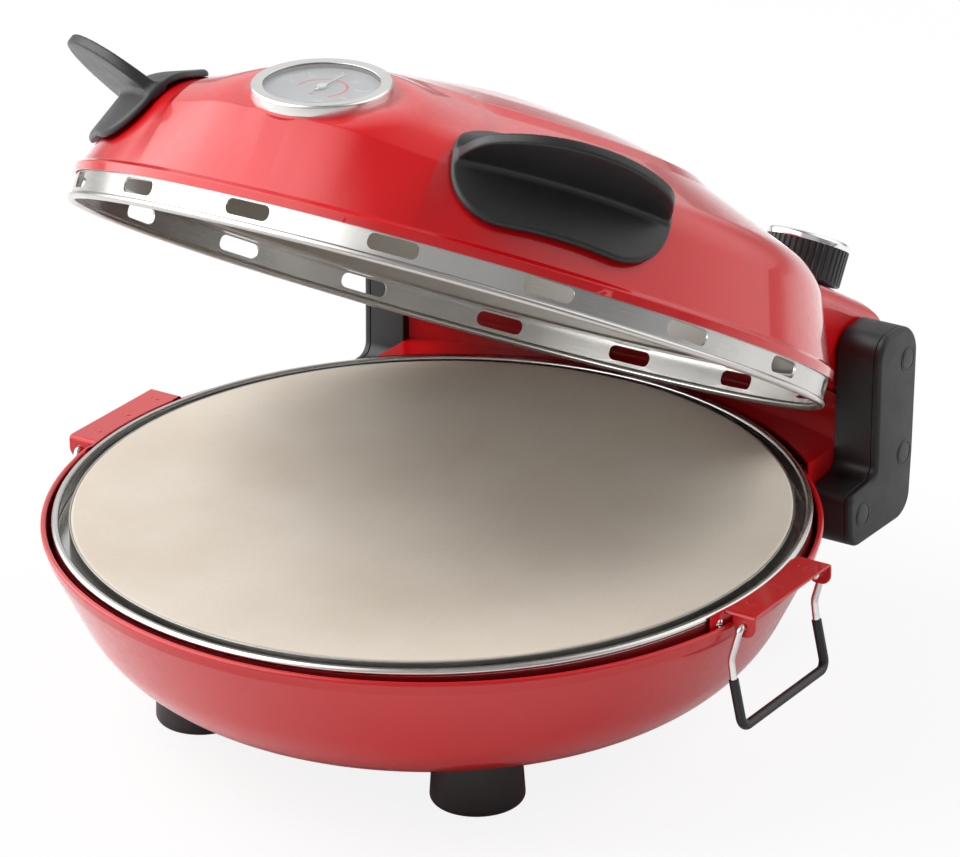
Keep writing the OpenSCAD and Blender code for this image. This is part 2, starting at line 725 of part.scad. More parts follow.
module at_thermostat(z) translate([thermostat_at.x, thermostat_at.y, z]) children();
module thermostat() color(steel) in_lid() difference() {
  union() {
    at_thermostat(42) cylinder(11, r = 13, $fn = 64);
    at_thermostat(53) cylinder(11.5, r = 4.5, $fn = small);
  }
  at_thermostat(48) cylinder(30, r = shaft_r + running_fit, $fn = small);
}
module thermostat_nut() color(steel) in_lid() at_thermostat(62.2) difference() {
  cylinder(2.2, r = 8, $fn = 6);
  translate([0, 0, -1]) cylinder(5, r = 4.5 + running_fit, $fn = small);
}
module knob_body() color(black) in_lid() at_thermostat(knob_low) difference() {
  cylinder(knob_h, r = knob_r, $fn = fine);
  translate([0, 0, -1]) cylinder(4, r = knob_r - 2.5, $fn = fine);
  translate([0, 0, -1]) cylinder(13, r = shaft_r, $fn = small);
  for (a = [0:15:345]) rotate([0, 0, a]) translate([knob_r + 0.4, 0, 3]) cylinder(knob_h, r = 1, $fn = small);
}
module knob_cap() color(chrome) in_lid() at_thermostat(knob_top) spun([
  [0, 0], [knob_r - 1, 0], [knob_r - 1.4, 1], [knob_r - 4, 1.9], [knob_r - 10, 2.4], [0, 2.6]
]);
module knob_shaft() color(steel) in_lid() at_thermostat(49) cylinder(knob_low + 12 - 49, r = shaft_r, $fn = small);

base_bowl();
feet();
foot_screws();
rear_box();
rear_deck();
rear_floor();
cord_gland();
terminal_block();
rim_ring();
steel_pan();
pan_posts();
lower_element();
lower_element_clips();
baking_stone();
stone_band();
arm_right_inner();
arm_right_outer();
arm_left_inner();
arm_left_outer();
arm_screws();
arm_plugs();
hinge_pins();
bracket_right();
bracket_left();
bracket_screws();
bail_right_wire();
bail_right_sleeve();
bail_left_wire();
bail_left_sleeve();
lid_dome();
lid_skirt();
lid_reflector();
upper_element();
upper_element_clips();
lid_rear_housing();
handle_right();
handle_left();
handle_screws();
gauge_bezel();
gauge_case();
gauge_dial();
gauge_gasket();
gauge_needle();
gauge_glass();
gauge_probe();
gauge_nut();
thermostat();
thermostat_nut();
knob_body();
knob_cap();
knob_shaft();
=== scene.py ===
import math

import bmesh
import bpy
import numpy as np
from mathutils import Matrix, Vector


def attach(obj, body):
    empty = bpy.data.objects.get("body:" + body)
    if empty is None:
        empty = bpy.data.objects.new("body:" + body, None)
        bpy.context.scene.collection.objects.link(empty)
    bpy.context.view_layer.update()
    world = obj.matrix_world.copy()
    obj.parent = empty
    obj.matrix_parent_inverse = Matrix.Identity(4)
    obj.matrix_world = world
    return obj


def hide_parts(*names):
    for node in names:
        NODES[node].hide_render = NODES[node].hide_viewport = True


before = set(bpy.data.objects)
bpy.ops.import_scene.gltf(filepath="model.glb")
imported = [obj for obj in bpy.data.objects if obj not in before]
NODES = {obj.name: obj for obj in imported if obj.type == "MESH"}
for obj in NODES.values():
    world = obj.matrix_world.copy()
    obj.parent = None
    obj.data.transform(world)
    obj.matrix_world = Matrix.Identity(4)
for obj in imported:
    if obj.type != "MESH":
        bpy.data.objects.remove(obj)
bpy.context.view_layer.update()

MM = 0.001

# ---------- sizes in millimetres, nearly all of them the CAD model's own ----------

AXIS_FORWARD = 16.66
STONE_TOP = 93.0
LID_OPEN = 30.4
HINGE_Y, HINGE_UP = 168.25, 20.8
STONE_R, STONE_T = 160.0, 12.0
RIM_R, RIM_ROLL = 168.7, 1.7
BOWL_R, BOWL_WALL, LIP_Z = 173.5, 1.2, -5.0
FOOT_X, FOOT_Y, FOOT_R = 73.7, 76.7, 21.0
LID_R, HEM_ROLL, HEM_Z = 171.8, 1.7, 3.0
SKIRT_R = LID_R - 1.3
SLOTS, SLOT_W, SLOT_H, SLOT_Z, SLOT_CORNER = 16, 22.0, 7.0, 9.8, 3.0
DOME_LOW, LID_WALL = 13.9, 1.2
ARM_IN, ARM_OUT, ARM_SPLIT = 118.0, 141.0, 137.3
ARM_SCREWS = [(176.0, 36.0), (173.5, -9.0), (137.0, -26.0)]
BRACKET_X, BRACKET_FRONT, BRACKET_BACK = 182.8, -26.0, 38.0
PLATE_LOW, PLATE_T, TAB_LOW = -1.5, 1.2, -11.0
FLANGE_R, FLANGE_T, FLANGE_Z, FLANGE_HALF = RIM_R + 0.1, 1.0, -6.05, (8.2, 5.75)
WELD_MARKS, WELD_X, WELD_R = (-14.7, 7.3, 29.0), 174.0, 1.9
BRACKET_SCREWS, BRACKET_SCREW_Z = (-29.0, 41.0), -6.2
BAIL_X, BAIL_Z, WIRE_R, SLEEVE_R = 177.0, -6.0, 1.6, 2.2
LEG = [(177.0, -6.0, 2.6), (172.6, -21.5, 9.0), (173.6, -29.5, 14.0), (178.4, -52.5, 4.6)]
GAUGE_AT, GAUGE_TILT, BEZEL_R, BEZEL_H = (0.0, -139.7, 66.4), 30.0, 30.0, 5.6
KNOB_AT, KNOB_LOW, KNOB_H, KNOB_R = (80.4, 159.3), 64.4, 16.0, 19.5
HANDLE_TURNS = {"right": 44.4, "left": -50.0}
# the bowl's rim stands a little lower towards the front right
BOWL_DROP, BOWL_TILT, BOWL_TILT_AXIS = 0.5, 0.8, (-0.561, 0.828, 0)

# ---------- the picture: metres, degrees and watts ----------

CAMERA_AT, CAMERA_ANGLES = (1.2845, -1.8728, 1.1206), (34.13, 23.74, -1.03)
CAMERA_SENSOR, CAMERA_REACH = 36.0, 5595.06 / 960
FLOOR_SIZE, FLOOR_DROP, FLOOR_WHITE, FLOOR_GLOW = 9.0, 0.0002, 0.86, 0.88
# name, place from the middle (across the picture, up it and towards the camera), size and power
LIT_MIDDLE = (0, 0, 0.16)
LIGHTS = [
    ("key_left", (-1.3, 1.35, 0.4), (1.7, 1.3), 44),
    ("fill_right", (1.5, 1.2, 0.15), (0.7, 1.3), 20),
    ("front", (-0.3, 0.25, 2.2), (1.2, 0.8), 3),
]
# brightness of the room for soft light and for mirrors; then each soft-edged white panel that mirrors see:
# its direction, like a light's place, the cosines where it starts and is full, and its brightness
ROOM, SKY_WHITE = 0.3, 0.28
SOFTBOXES = [
    ((-1.6, 0.8, 0.25), 0.5, 0.88, 3.3),
    ((1.5, 1.0, 0.1), 0.6, 0.95, 1.2),
    ((0, 0.74, -0.68), 0.8, 0.97, 0.6),
    ((-0.2, 0.2, 2.2), 0.8, 0.98, 0.25),
]


def shift(x, y, z):
    return Matrix.Translation((x, y, z))


def turned(degrees, axis):
    return Matrix.Rotation(math.radians(degrees), 4, axis)


BASE = shift(0, -AXIS_FORWARD, STONE_TOP)
LID = BASE @ shift(0, HINGE_Y, HINGE_UP) @ turned(-LID_OPEN, "X") @ shift(0, -HINGE_Y, -HINGE_UP)
GAUGE = LID @ shift(*GAUGE_AT) @ turned(GAUGE_TILT, "X")
KNOB = LID @ shift(*KNOB_AT, KNOB_LOW)
HUNG = BASE @ shift(0, 0, -BOWL_DROP) @ turned(BOWL_TILT, Vector(BOWL_TILT_AXIS))
MIRROR = Matrix.Scale(-1, 4, (1, 0, 0))
SIDES = (("right", BASE), ("left", BASE @ MIRROR))


# ---------- lines and outlines ----------

def unit(v):
    return v / np.linalg.norm(v)


def bent(corners, step=7.0, closed=False):
    """Points of a line with round bends. A corner is its place and then its radius, in 2-D or 3-D."""
    corners = np.array(corners, float)
    places, radii = corners[:, :-1], corners[:, -1]
    count = len(places)
    points = []
    for i in range(count):
        here, radius = places[i], radii[i]
        if radius == 0 or (not closed and i in (0, count - 1)):
            points.append(here)
            continue
        into = unit(here - places[i - 1])
        out = unit(places[(i + 1) % count] - here)
        bend = math.acos(np.clip(into @ out, -1, 1))
        if bend < 0.01:
            points.append(here)
            continue
        inward = unit(out - into * math.cos(bend))
        start = here - into * radius * math.tan(bend / 2)
        steps = max(1, math.ceil(math.degrees(bend) / step))
        for k in range(steps + 1):
            t = bend * k / steps
            points.append(start + inward * radius * (1 - math.cos(t)) + into * radius * math.sin(t))
    return np.array(points)


def beside(points, distance, closed=False):
    """The same line in 2-D, moved to its left."""
    points = np.asarray(points, float)
    after = np.roll(points, -1, 0) - points
    before = points - np.roll(points, 1, 0)
    if not closed:
        after[-1], before[0] = before[-1], after[0]
    left = [np.c_[-v[:, 1], v[:, 0]] / np.linalg.norm(v, axis=1)[:, None] for v in (before, after)]
    middle = left[0] + left[1]
    middle /= np.linalg.norm(middle, axis=1)[:, None]
    return points + middle * distance / (middle * left[0]).sum(1)[:, None]


def sheet(points, thickness):
    """A closed outline: the line, and back along its left side."""
    return np.concatenate([points, beside(points, thickness)[::-1]])


def dense(points, gap, closed=False):
    """The same line with no step longer than gap."""
    points = np.asarray(points, float)
    ends = np.roll(points, -1, 0) if closed else points[1:]
    out = []
    for a, b in zip(points, ends):
        steps = max(1, math.ceil(np.linalg.norm(b - a) / gap))
        out += [a + (b - a) * k / steps for k in range(steps)]
    if not closed:
        out.append(points[-1])
    return np.array(out)


def equal_turns(count):
    return np.arange(count) * 2 * math.pi / count


def about_z(radius, turn, z):
    """Points at a distance from the Z axis, turned about it."""
    return np.stack(np.broadcast_arrays(radius * np.cos(turn), radius * np.sin(turn), z), -1)


def lengths(line):
    """How far along a line each of its points is, in metres."""
    return np.r_[0, np.cumsum(np.linalg.norm(np.diff(line, axis=0), axis=1))] * MM


def girth(count, radius):
    """How far round a circle each of its steps is, in metres."""
    return np.arange(count + 1) * 2 * math.pi / count * radius * MM


def roll_outline(r, z, tube, sides=24):
    turn = equal_turns(sides)
    return np.c_[r + tube * np.cos(turn), z + tube * np.sin(turn)]


# ---------- meshes ----------

class Shape:
    """Points, faces and a lay for each face's corners: metres round and along the surface."""

    def __init__(self):
        self.points, self.faces, self.lays, self.count = [], [], [], 0

    def add(self, points, faces, lays=None):
        points = np.asarray(points, float).reshape(-1, 3)
        for i, face in enumerate(faces):
            self.faces.append([int(v) + self.count for v in face])
            self.lays.append([(0.0, 0.0)] * len(face) if lays is None else lays[i])
        self.points.append(points)
        self.count += len(points)
        return self

    def grid(self, points, lay=None, wrap_rows=False, wrap_columns=False):
        """Quads over points[row, column], with lay[row, column] one longer where it wraps."""
        rows, columns = points.shape[:2]
        if lay is None:
            lay = np.zeros((rows + 1, columns + 1, 2))
        elif isinstance(lay, tuple):
            around, along = lay
            lay = np.stack(np.broadcast_arrays(around[None, :], along[:, None]), -1)
        faces, lays = [], []
        for i in range(rows if wrap_rows else rows - 1):
            for j in range(columns if wrap_columns else columns - 1):
                a, b = (i + 1) % rows, (j + 1) % columns
                faces.append((i * columns + j, i * columns + b, a * columns + b, a * columns + j))
                lays.append([tuple(lay[p]) for p in ((i, j), (i, j + 1), (i + 1, j + 1), (i + 1, j))])
        return self.add(points, faces, lays)

    def lathe(self, outline, segments=256, closed=True, place=None):
        """Spins an outline of (r, z) about Z."""
        outline = np.asarray(outline, float)
        points = about_z(outline[:, :1], equal_turns(segments), outline[:, 1:])
        along = lengths(np.concatenate([outline, outline[:1]]) if closed else outline)
        if place is not None:
            points = moved(points.reshape(-1, 3), place).reshape(points.shape)
        return self.grid(points, (girth(segments, outline[:, 0].max()), along), closed, True)

    def prism(self, outline, low, high, round_low, round_high, steps=5):
        """An outline in (y, z), run along X from low to high, with its end edges rounded."""
        rings = []
        for end, radius, side in ((low, round_low, 1), (high, round_high, -1)):
            turn = np.linspace(0, math.pi / 2, steps + 1)
            part = [(end + side * radius * (1 - math.sin(t)), radius * (1 - math.cos(t))) for t in turn]
            rings += part[::-1] if side > 0 else part
        loops = [np.c_[np.full(len(outline), x), beside(outline, inset, True)] for x, inset in rings]
        long = lengths(outline)
        self.grid(np.stack(loops), (np.r_[long, long[-1]], np.array([x for x, _ in rings]) * MM), False, True)
        for loop in (loops[0], loops[-1]):
            self.add(loop, [range(len(loop))], [[(p[1] * MM, p[2] * MM) for p in loop]])
        return self

    def tube(self, line, radius, sides=20, capped=0.35):
        """A tube along a 3-D line, with rounded ends."""
        line = np.asarray(line, float)
        ahead = np.gradient(line, axis=0)
        ahead /= np.linalg.norm(ahead, axis=1)[:, None]
        first, last = line[0] - ahead[0] * radius * capped, line[-1] + ahead[-1] * radius * capped
        line = np.concatenate([[first, line[0] - ahead[0] * radius * capped * 0.7], line,
                               [line[-1] + ahead[-1] * radius * capped * 0.7, last]])
        ahead = np.concatenate([ahead[:1], ahead[:1], ahead, ahead[-1:], ahead[-1:]])
        widths = np.full(len(line), radius)
        widths[[0, -1]] = 0.3 * radius
        widths[[1, -2]] = 0.85 * radius
        normal = unit(np.cross(ahead[0], (0.31, 0.57, 0.76)))
        turn = equal_turns(sides)
        rows = []
        for place, way, width in zip(line, ahead, widths):
            normal = unit(normal - way * (normal @ way))
            other = np.cross(way, normal)
            rows.append(place + width * (np.outer(np.cos(turn), normal) + np.outer(np.sin(turn), other)))
        self.grid(np.stack(rows), (girth(sides, radius), lengths(line)), False, True)
        for row in (rows[0], rows[-1]):
            self.add(row, [range(sides)])
        return self


def moved(points, place):
    m = np.array(place)
    return points @ m[:3, :3].T + m[:3, 3]


def placed(name, data):
    """A new object of the scene that shows this data."""
    made = bpy.data.objects.new(name, data)
    bpy.context.scene.collection.objects.link(made)
    return made


def make(name, shape, place, look, body, replaced=(), crease=32.0):
    """Turns a shape into a piece in the row frame, riding on a body."""
    points = moved(np.concatenate(shape.points), place) * MM
    mesh = bpy.data.meshes.new(name)
    mesh.from_pydata(points.tolist(), [], shape.faces)
    lay = mesh.uv_layers.new(name="Lay")
    lay.data.foreach_set("uv", np.array([p for face in shape.lays for p in face], np.float32).ravel())
    work = bmesh.new()
    work.from_mesh(mesh)
    bmesh.ops.remove_doubles(work, verts=work.verts, dist=2e-7)
    bmesh.ops.recalc_face_normals(work, faces=work.faces)
    work.to_mesh(mesh)
    work.free()
    mesh.shade_smooth()
    mesh.set_sharp_from_angle(angle=math.radians(crease))
    piece = placed(name, mesh)
    mesh.materials.append(look)
    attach(piece, body)
    if replaced:
        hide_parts(*replaced)
    return piece


# ---------- solids given by a distance, and their skins ----------

def distance_to(outline, x, y):
    """Signed distance in 2-D from points to a closed outline, negative inside."""
    best = np.full(x.shape, 1e18)
    inside = np.zeros(x.shape, bool)
    for (ax, ay), (bx, by) in zip(outline, np.roll(outline, -1, 0)):
        dx, dy = bx - ax, by - ay
        size = dx * dx + dy * dy
        if size < 1e-12:
            continue
        t = np.clip(((x - ax) * dx + (y - ay) * dy) / size, 0, 1)
        best = np.minimum(best, (x - ax - t * dx) ** 2 + (y - ay - t * dy) ** 2)
        if dy:
            inside ^= ((ay > y) != (by > y)) & (x < ax + (y - ay) * dx / dy)
    return np.where(inside, -1, 1) * np.sqrt(best)


def round_box(x, y, half_x, half_y, radius):
    qx, qy = np.abs(x) - half_x + radius, np.abs(y) - half_y + radius
    return np.hypot(np.maximum(qx, 0), np.maximum(qy, 0)) + np.minimum(np.maximum(qx, qy), 0) - radius


def soft_union(a, b, k):
    h = np.clip(0.5 + 0.5 * (b - a) / k, 0, 1)
    return b + (a - b) * h - k * h * (1 - h)


def round_cut(a, b, radius):
    """What lies in both, with the edge between them rounded."""
    u, v = np.maximum(a + radius, 0), np.maximum(b + radius, 0)
    return np.minimum(np.maximum(a, b), -radius) + np.hypot(u, v)


def slope(solid, points, reach=0.05):
    steps = np.eye(3) * reach
    return np.stack([solid(points + s) - solid(points - s) for s in steps], 1) / (2 * reach)


def onto(solid, points, rounds=4):
    """Moves points onto the skin of a solid."""
    for _ in range(rounds):
        g = slope(solid, points)
        size = np.maximum((g * g).sum(1), 0.05)
        points = points - (np.clip(solid(points), -1, 1) / size)[:, None] * g
    return points


def skin(solid, low, high, step, relax=3):
    """A quad mesh over a solid that is given by its signed distance, in millimetres."""
    axes = [np.arange(a, b + step, step) for a, b in zip(low, high)]
    where = np.stack(np.meshgrid(*axes, indexing="ij"), -1)
    value = solid(where.reshape(-1, 3)).reshape(where.shape[:3])
    inside = value < 0
    corners = sum(
        inside[i:inside.shape[0] - 1 + i, j:inside.shape[1] - 1 + j, k:inside.shape[2] - 1 + k].astype(int)
        for i in (0, 1) for j in (0, 1) for k in (0, 1))
    active = (corners > 0) & (corners < 8)
    number = np.full(active.shape, -1)
    number[active] = np.arange(active.sum())
    points = where[:-1, :-1, :-1][active] + step / 2
    quads = []
    for axis in range(3):
        a, b = [[slice(1, -1)] * 3 for _ in range(2)]
        a[axis], b[axis] = slice(0, -1), slice(1, None)
        crossing = inside[tuple(a)] != inside[tuple(b)]
        index = np.argwhere(crossing)
        for other in range(3):
            if other != axis:
                index[:, other] += 1
        u, v = [k for k in range(3) if k != axis]
        cells = []
        for du, dv in ((-1, -1), (0, -1), (0, 0), (-1, 0)):
            cell = index.copy()
            cell[:, u] += du
            cell[:, v] += dv
            cells.append(number[tuple(cell.T)])
        quads.append(np.stack(cells, 1))
    quads = np.concatenate(quads)
    points = onto(solid, points, 5)
    for _ in range(relax):
        total, share = np.zeros_like(points), np.zeros(len(points))
        for a, b in ((0, 1), (1, 2), (2, 3), (3, 0)):
            for p, q in ((quads[:, a], quads[:, b]), (quads[:, b], quads[:, a])):
                np.add.at(total, p, points[q])
                np.add.at(share, p, 1)
        points = onto(solid, 0.5 * points + 0.5 * total / np.maximum(share, 1)[:, None], 3)
    return Shape().add(points, quads)


# ---------- materials ----------

def colour(r, g, b):
    """A colour as it looks on screen, 0 to 255, in the numbers that a shader takes."""
    parts = [c / 255 for c in (r, g, b)]
    return tuple(c / 12.92 if c <= 0.0393 else ((c + 0.055) / 1.055) ** 2.4 for c in parts) + (1,)


class Look:
    """A material being made: its shader, and short ways to add nodes."""

    def __init__(self, name, **values):
        self.material = bpy.data.materials.new(name)
        self.material.use_nodes = True
        self.tree = self.material.node_tree
        self.shader = self.tree.nodes["Principled BSDF"]
        for key, value in values.items():
            self.shader.inputs[key.replace("_", " ")].default_value = value
        self.place = self.node("ShaderNodeTexCoord").outputs["Object"]

    def node(self, kind, **values):
        made = self.tree.nodes.new(kind)
        for key, value in values.items():
            if hasattr(made, key):
                setattr(made, key, value)
            else:
                made.inputs[key.replace("_", " ")].default_value = value
        return made

    def link(self, a, b):
        self.tree.links.new(a, b)

    def lay(self, around, along):
        """Coordinates round and along the surface, stretched."""
        uv = self.node("ShaderNodeUVMap", uv_map="Lay")
        stretch = self.node("ShaderNodeMapping", Scale=(around, along, 1))
        self.link(uv.outputs[0], stretch.inputs["Vector"])
        return stretch.outputs[0]

    def noise(self, scale, detail=3.0, roughness=0.5, where=None):
        made = self.node("ShaderNodeTexNoise", Scale=scale, Detail=detail, Roughness=roughness)
        self.link(self.place if where is None else where, made.inputs["Vector"])
        return made.outputs[0]

    def spread(self, value, low, high, start=0.3, end=0.7):
        made = self.node("ShaderNodeMapRange")
        for i, v in enumerate((start, end, low, high), 1):
            made.inputs[i].default_value = v
        self.link(value, made.inputs[0])
        return made.outputs[0]

    def mixed(self, value, first, second):
        made = self.node("ShaderNodeMix", data_type="RGBA")
        made.inputs[6].default_value, made.inputs[7].default_value = first, second
        self.link(value, made.inputs[0])
        return made.outputs[2]

    def bump(self, height, strength, distance):
        made = self.node("ShaderNodeBump", Strength=strength, Distance=distance)
        self.link(height, made.inputs["Height"])
        self.link(made.outputs[0], self.shader.inputs["Normal"])

    def colour(self, value):
        self.link(value, self.shader.inputs["Base Color"])

    def shades(self, value, first, second, start=0.3, end=0.7):
        self.colour(self.mixed(self.spread(value, 0, 1, start, end), first, second))

    def roughness(self, value):
        self.link(value, self.shader.inputs["Roughness"])

    def rough(self, value, low, high):
        self.roughness(self.spread(value, low, high))


def paint_look():
    look = Look("red_gloss_paint", Coat_Weight=1.0, Coat_Roughness=0.05, Coat_IOR=1.38)
    look.shader.inputs["Specular IOR Level"].default_value = 0.25
    look.shades(look.noise(9, 2), colour(204, 14, 22), colour(194, 11, 19))
    look.rough(look.noise(240, 3), 0.3, 0.38)
    look.bump(look.noise(520, 2), 0.05, 0.0004)
    return look.material


# Darker red: painted shade on the bowl's inside, and a painted reflection of the red bowl on the rim's steel
# wall.
def inner_paint_look():
    look = Look("red_painted_shade_and_reflection", Coat_Weight=0.3, Coat_Roughness=0.2)
    look.shades(look.noise(14), colour(128, 12, 18), colour(104, 9, 14))
    look.rough(look.noise(300, 3), 0.4, 0.5)
    look.bump(look.noise(700, 2), 0.08, 0.0003)
    return look.material


def brushed_look(name, base, shade, low, high, around=18, along=5200, strength=0.12):
    """Bright sheet steel with fine lines running round it."""
    look = Look(name, Metallic=1.0)
    lines = look.noise(1.0, 4, 0.6, look.lay(around, along))
    patches = look.noise(26, 3)
    look.shades(patches, base, shade, 0.2, 0.8)
    both = look.node("ShaderNodeMath", operation="MULTIPLY")
    look.link(look.spread(lines, 0.8, 1.2), both.inputs[0])
    look.link(look.spread(patches, low, high), both.inputs[1])
    look.roughness(both.outputs[0])
    look.bump(lines, strength, 0.00006)
    return look.material


def steel_look(name, base, shade, low, high, scale=60):
    """Plain steel with faint cloudy marks."""
    look = Look(name, Metallic=1.0)
    marks = look.noise(scale, 4, 0.6)
    look.shades(marks, base, shade)
    look.rough(marks, low, high)
    look.bump(look.noise(scale * 18, 2), 0.05, 0.0001)
    return look.material


def plastic_look(name, base, shade, low, high, grain=2200, depth=0.00005, strength=0.25):
    """Moulded plastic with a fine spark-eroded grain."""
    look = Look(name)
    look.shader.inputs["Specular IOR Level"].default_value = 0.5
    cloud = look.noise(35, 3)
    look.shades(cloud, base, shade)
    look.rough(look.noise(90, 4, 0.6), low, high)
    look.bump(look.noise(grain, 2), strength, depth)
    return look.material


def stone_look():
    """Pressed cordierite: cream, with fine specks and tiny pits."""
    look = Look("cordierite_stone", Roughness=0.8)
    cloud = look.mixed(look.spread(look.noise(11, 4), 0, 1), colour(226, 216, 203), colour(212, 199, 184))
    specks = look.spread(look.noise(1500, 2, 0.7), 0, 1, 0.66, 0.76)
    deep = look.node("ShaderNodeMix", data_type="RGBA")
    look.link(specks, deep.inputs[0])
    look.link(cloud, deep.inputs[6])
    deep.inputs[7].default_value = colour(158, 142, 124)
    look.colour(deep.outputs[2])
    look.rough(look.noise(300), 0.72, 0.88)
    look.bump(look.noise(1100, 4, 0.7), 0.35, 0.00025)
    return look.material


def glass_look():
    look = Look("gauge_lens", Roughness=0.02, IOR=1.5, Transmission_Weight=1.0)
    look.shades(look.noise(20), (1, 1, 1, 1), (0.97, 0.98, 0.98, 1))
    look.bump(look.noise(150, 1), 0.01, 0.0001)
    return look.material


def dial_look():
    look = Look("dial_grey", Metallic=0.0)
    look.shades(look.noise(40), colour(160, 161, 163), colour(152, 153, 156))
    look.rough(look.noise(400, 3), 0.4, 0.5)
    look.bump(look.noise(1400, 2), 0.05, 0.00005)
    return look.material


def ink_look(name, first, second):
    look = Look(name)
    look.shades(look.noise(900, 2), first, second)
    look.rough(look.noise(600), 0.4, 0.6)
    return look.material


PAINT = paint_look()
# darker red for painted shade and a painted reflection of the red bowl
DARK_RED_SHADE_AND_REFLECTION = inner_paint_look()
SKIRT_STEEL = brushed_look("skirt_steel", (0.62, 0.61, 0.59, 1), (0.54, 0.53, 0.51, 1), 0.2, 0.28)
RIM_STEEL = brushed_look("rim_steel", (0.70, 0.69, 0.67, 1), (0.60, 0.59, 0.57, 1), 0.2, 0.3)
BAND_STEEL = brushed_look("band_steel", (0.58, 0.57, 0.55, 1), (0.50, 0.49, 0.47, 1), 0.26, 0.36)
PAN_STEEL = brushed_look("pan_steel", (0.50, 0.49, 0.47, 1), (0.42, 0.41, 0.39, 1), 0.3, 0.42)
BEZEL_STEEL = brushed_look("bezel_steel", (0.80, 0.79, 0.77, 1), (0.72, 0.71, 0.69, 1), 0.18, 0.26)
DARK_STEEL = steel_look("element_steel", (0.30, 0.28, 0.26, 1), (0.22, 0.20, 0.19, 1), 0.38, 0.5)
FASTENER = steel_look("fastener_steel", (0.62, 0.60, 0.57, 1), (0.5, 0.48, 0.46, 1), 0.25, 0.4)
CHROME = steel_look("wire_chrome", (0.80, 0.79, 0.78, 1), (0.70, 0.69, 0.68, 1), 0.08, 0.16)
CAP_CHROME = brushed_look("cap_chrome", (0.86, 0.86, 0.86, 1), (0.80, 0.80, 0.80, 1), 0.05, 0.09,
                          strength=0.03)
BLACK = plastic_look("satin_black_plastic", colour(32, 32, 33), colour(26, 26, 27), 0.38, 0.46)
ARM_BLACK = plastic_look("matt_black_plastic", colour(23, 24, 25), colour(19, 20, 21), 0.42, 0.52)
FOOT_BLACK = plastic_look("foot_rubber", colour(30, 30, 31), colour(24, 24, 25), 0.42, 0.55)
RUBBER = plastic_look("black_sleeve", colour(24, 24, 26), colour(18, 18, 20), 0.3, 0.42, 900, 0.00008, 0.2)
STONE = stone_look()
GLASS = glass_look()
DIAL = dial_look()
DIAL_RED = ink_look("dial_red_ink", colour(206, 60, 54), colour(196, 52, 48))
DIAL_WHITE = ink_look("dial_pale_ink", colour(214, 214, 214), colour(204, 204, 204))
NEEDLE = ink_look("needle_paint", colour(206, 206, 204), colour(198, 198, 196))
CERAMIC = ink_look("glazed_ceramic", colour(230, 225, 214), colour(220, 214, 202))


# ---------- base ----------


BOWL_FLOOR = -STONE_TOP + 5.5
BOWL_PATH = bent([
    (BOWL_R, LIP_Z, 0), (BOWL_R - 1.2, -9.8, 4), (149, -58, 60), (88.5, BOWL_FLOOR, 25), (0, BOWL_FLOOR, 0)
], 2.5)
HOOP_GAP, HOOP_T, SEAM_FROM_TO = 0.05, 0.8, (1.8, 7.3)
ELEMENT_RING, ELEMENT_GAP, ELEMENT_R, LOWER_Z, UPPER_Z = 105.0, 30.0, 3.3, -27.0, 44.0


def bowl_height(radius):
    """Height of the bowl's outer skin at a distance from its axis."""
    low = BOWL_PATH[::-1]
    return np.interp(radius, low[:, 0], low[:, 1])


def make_bowl():
    shell = Shape().lathe(sheet(dense(BOWL_PATH, 6), -BOWL_WALL), 320)
    shell.lathe(roll_outline(BOWL_R - 1.4, LIP_Z - 0.2, 1.4), 320)
    make("bowl_shell", shell, HUNG, PAINT, "base", ["base_bowl"])
    # A darker red sheet just inside the bowl's wall: painted shade.
    inside = beside(dense(BOWL_PATH[BOWL_PATH[:, 1] > -40], 3), -BOWL_WALL - 0.03)
    shade_sheet = Shape().lathe(inside[inside[:, 1] < LIP_Z - 1.6], 320, closed=False)
    make("bowl_inside_painted_shade", shade_sheet, HUNG, DARK_RED_SHADE_AND_REFLECTION, "base")


def make_feet():
    segments = 72
    turn = equal_turns(segments)
    feet = Shape()
    profile = bent([(6.2, 2.6, 0), (6.2, 0, 0.6), (FOOT_R, 0, 2.6), (FOOT_R - 2, 40, 0)], 12)
    for x in (-FOOT_X, FOOT_X):
        for y in (-FOOT_Y, FOOT_Y):
            rows = [about_z(radius, turn, z - STONE_TOP) + (x, y, 0) for radius, z in profile[:-1]]
            top = about_z(FOOT_R - 1, turn, 0) + (x, y, 0)
            top[:, 2] = bowl_height(np.hypot(top[:, 0], top[:, 1])) + 0.6
            rows.append(top)
            feet.grid(np.stack(rows), wrap_columns=True)
            feet.add(rows[0], [range(segments)])
    make("foot_pads", feet, BASE, FOOT_BLACK, "base", ["feet"])


def make_rim():
    rim = Shape()
    wall = RIM_R - 0.5
    groove = bent([(wall, -2, 0), (wall, -STONE_T - 0.8, 1.5), (STONE_R - 6, -STONE_T - 0.8, 0)], 10)
    rim.lathe(sheet(groove, -0.8), 320)
    rim.lathe(roll_outline(RIM_R - RIM_ROLL, -0.3 - RIM_ROLL, RIM_ROLL, 28), 320)
    make("rolled_rim", rim, BASE, RIM_STEEL, "base", ["rim_ring"])
    # A darker red ring on the rim's steel wall: painted reflection of the red bowl.
    skirt = Shape().lathe([(wall + 0.1, -3.6), (wall + 0.1, -STONE_T)], 320, closed=False)
    make("rim_painted_red_reflection", skirt, BASE, DARK_RED_SHADE_AND_REFLECTION, "base")


def make_pan():
    outline = bent([(RIM_R - 3.5, -13.6, 0), (150, -13.6, 2), (142, -40, 6), (0.01, -40, 0)], 10)
    pan = Shape().lathe(sheet(outline, -0.8), 192)
    make("heater_pan", pan, BASE, PAN_STEEL, "base", ["steel_pan"])


def make_stone():
    outline = bent([(0.01, 0, 0), (STONE_R, 0, 1.4), (STONE_R, -STONE_T, 1), (0.01, -STONE_T, 0)], 15)
    stone = Shape().lathe(dense(outline, 20), 320, closed=False)
    make("stone_disc", stone, BASE, STONE, "stone", ["baking_stone"])


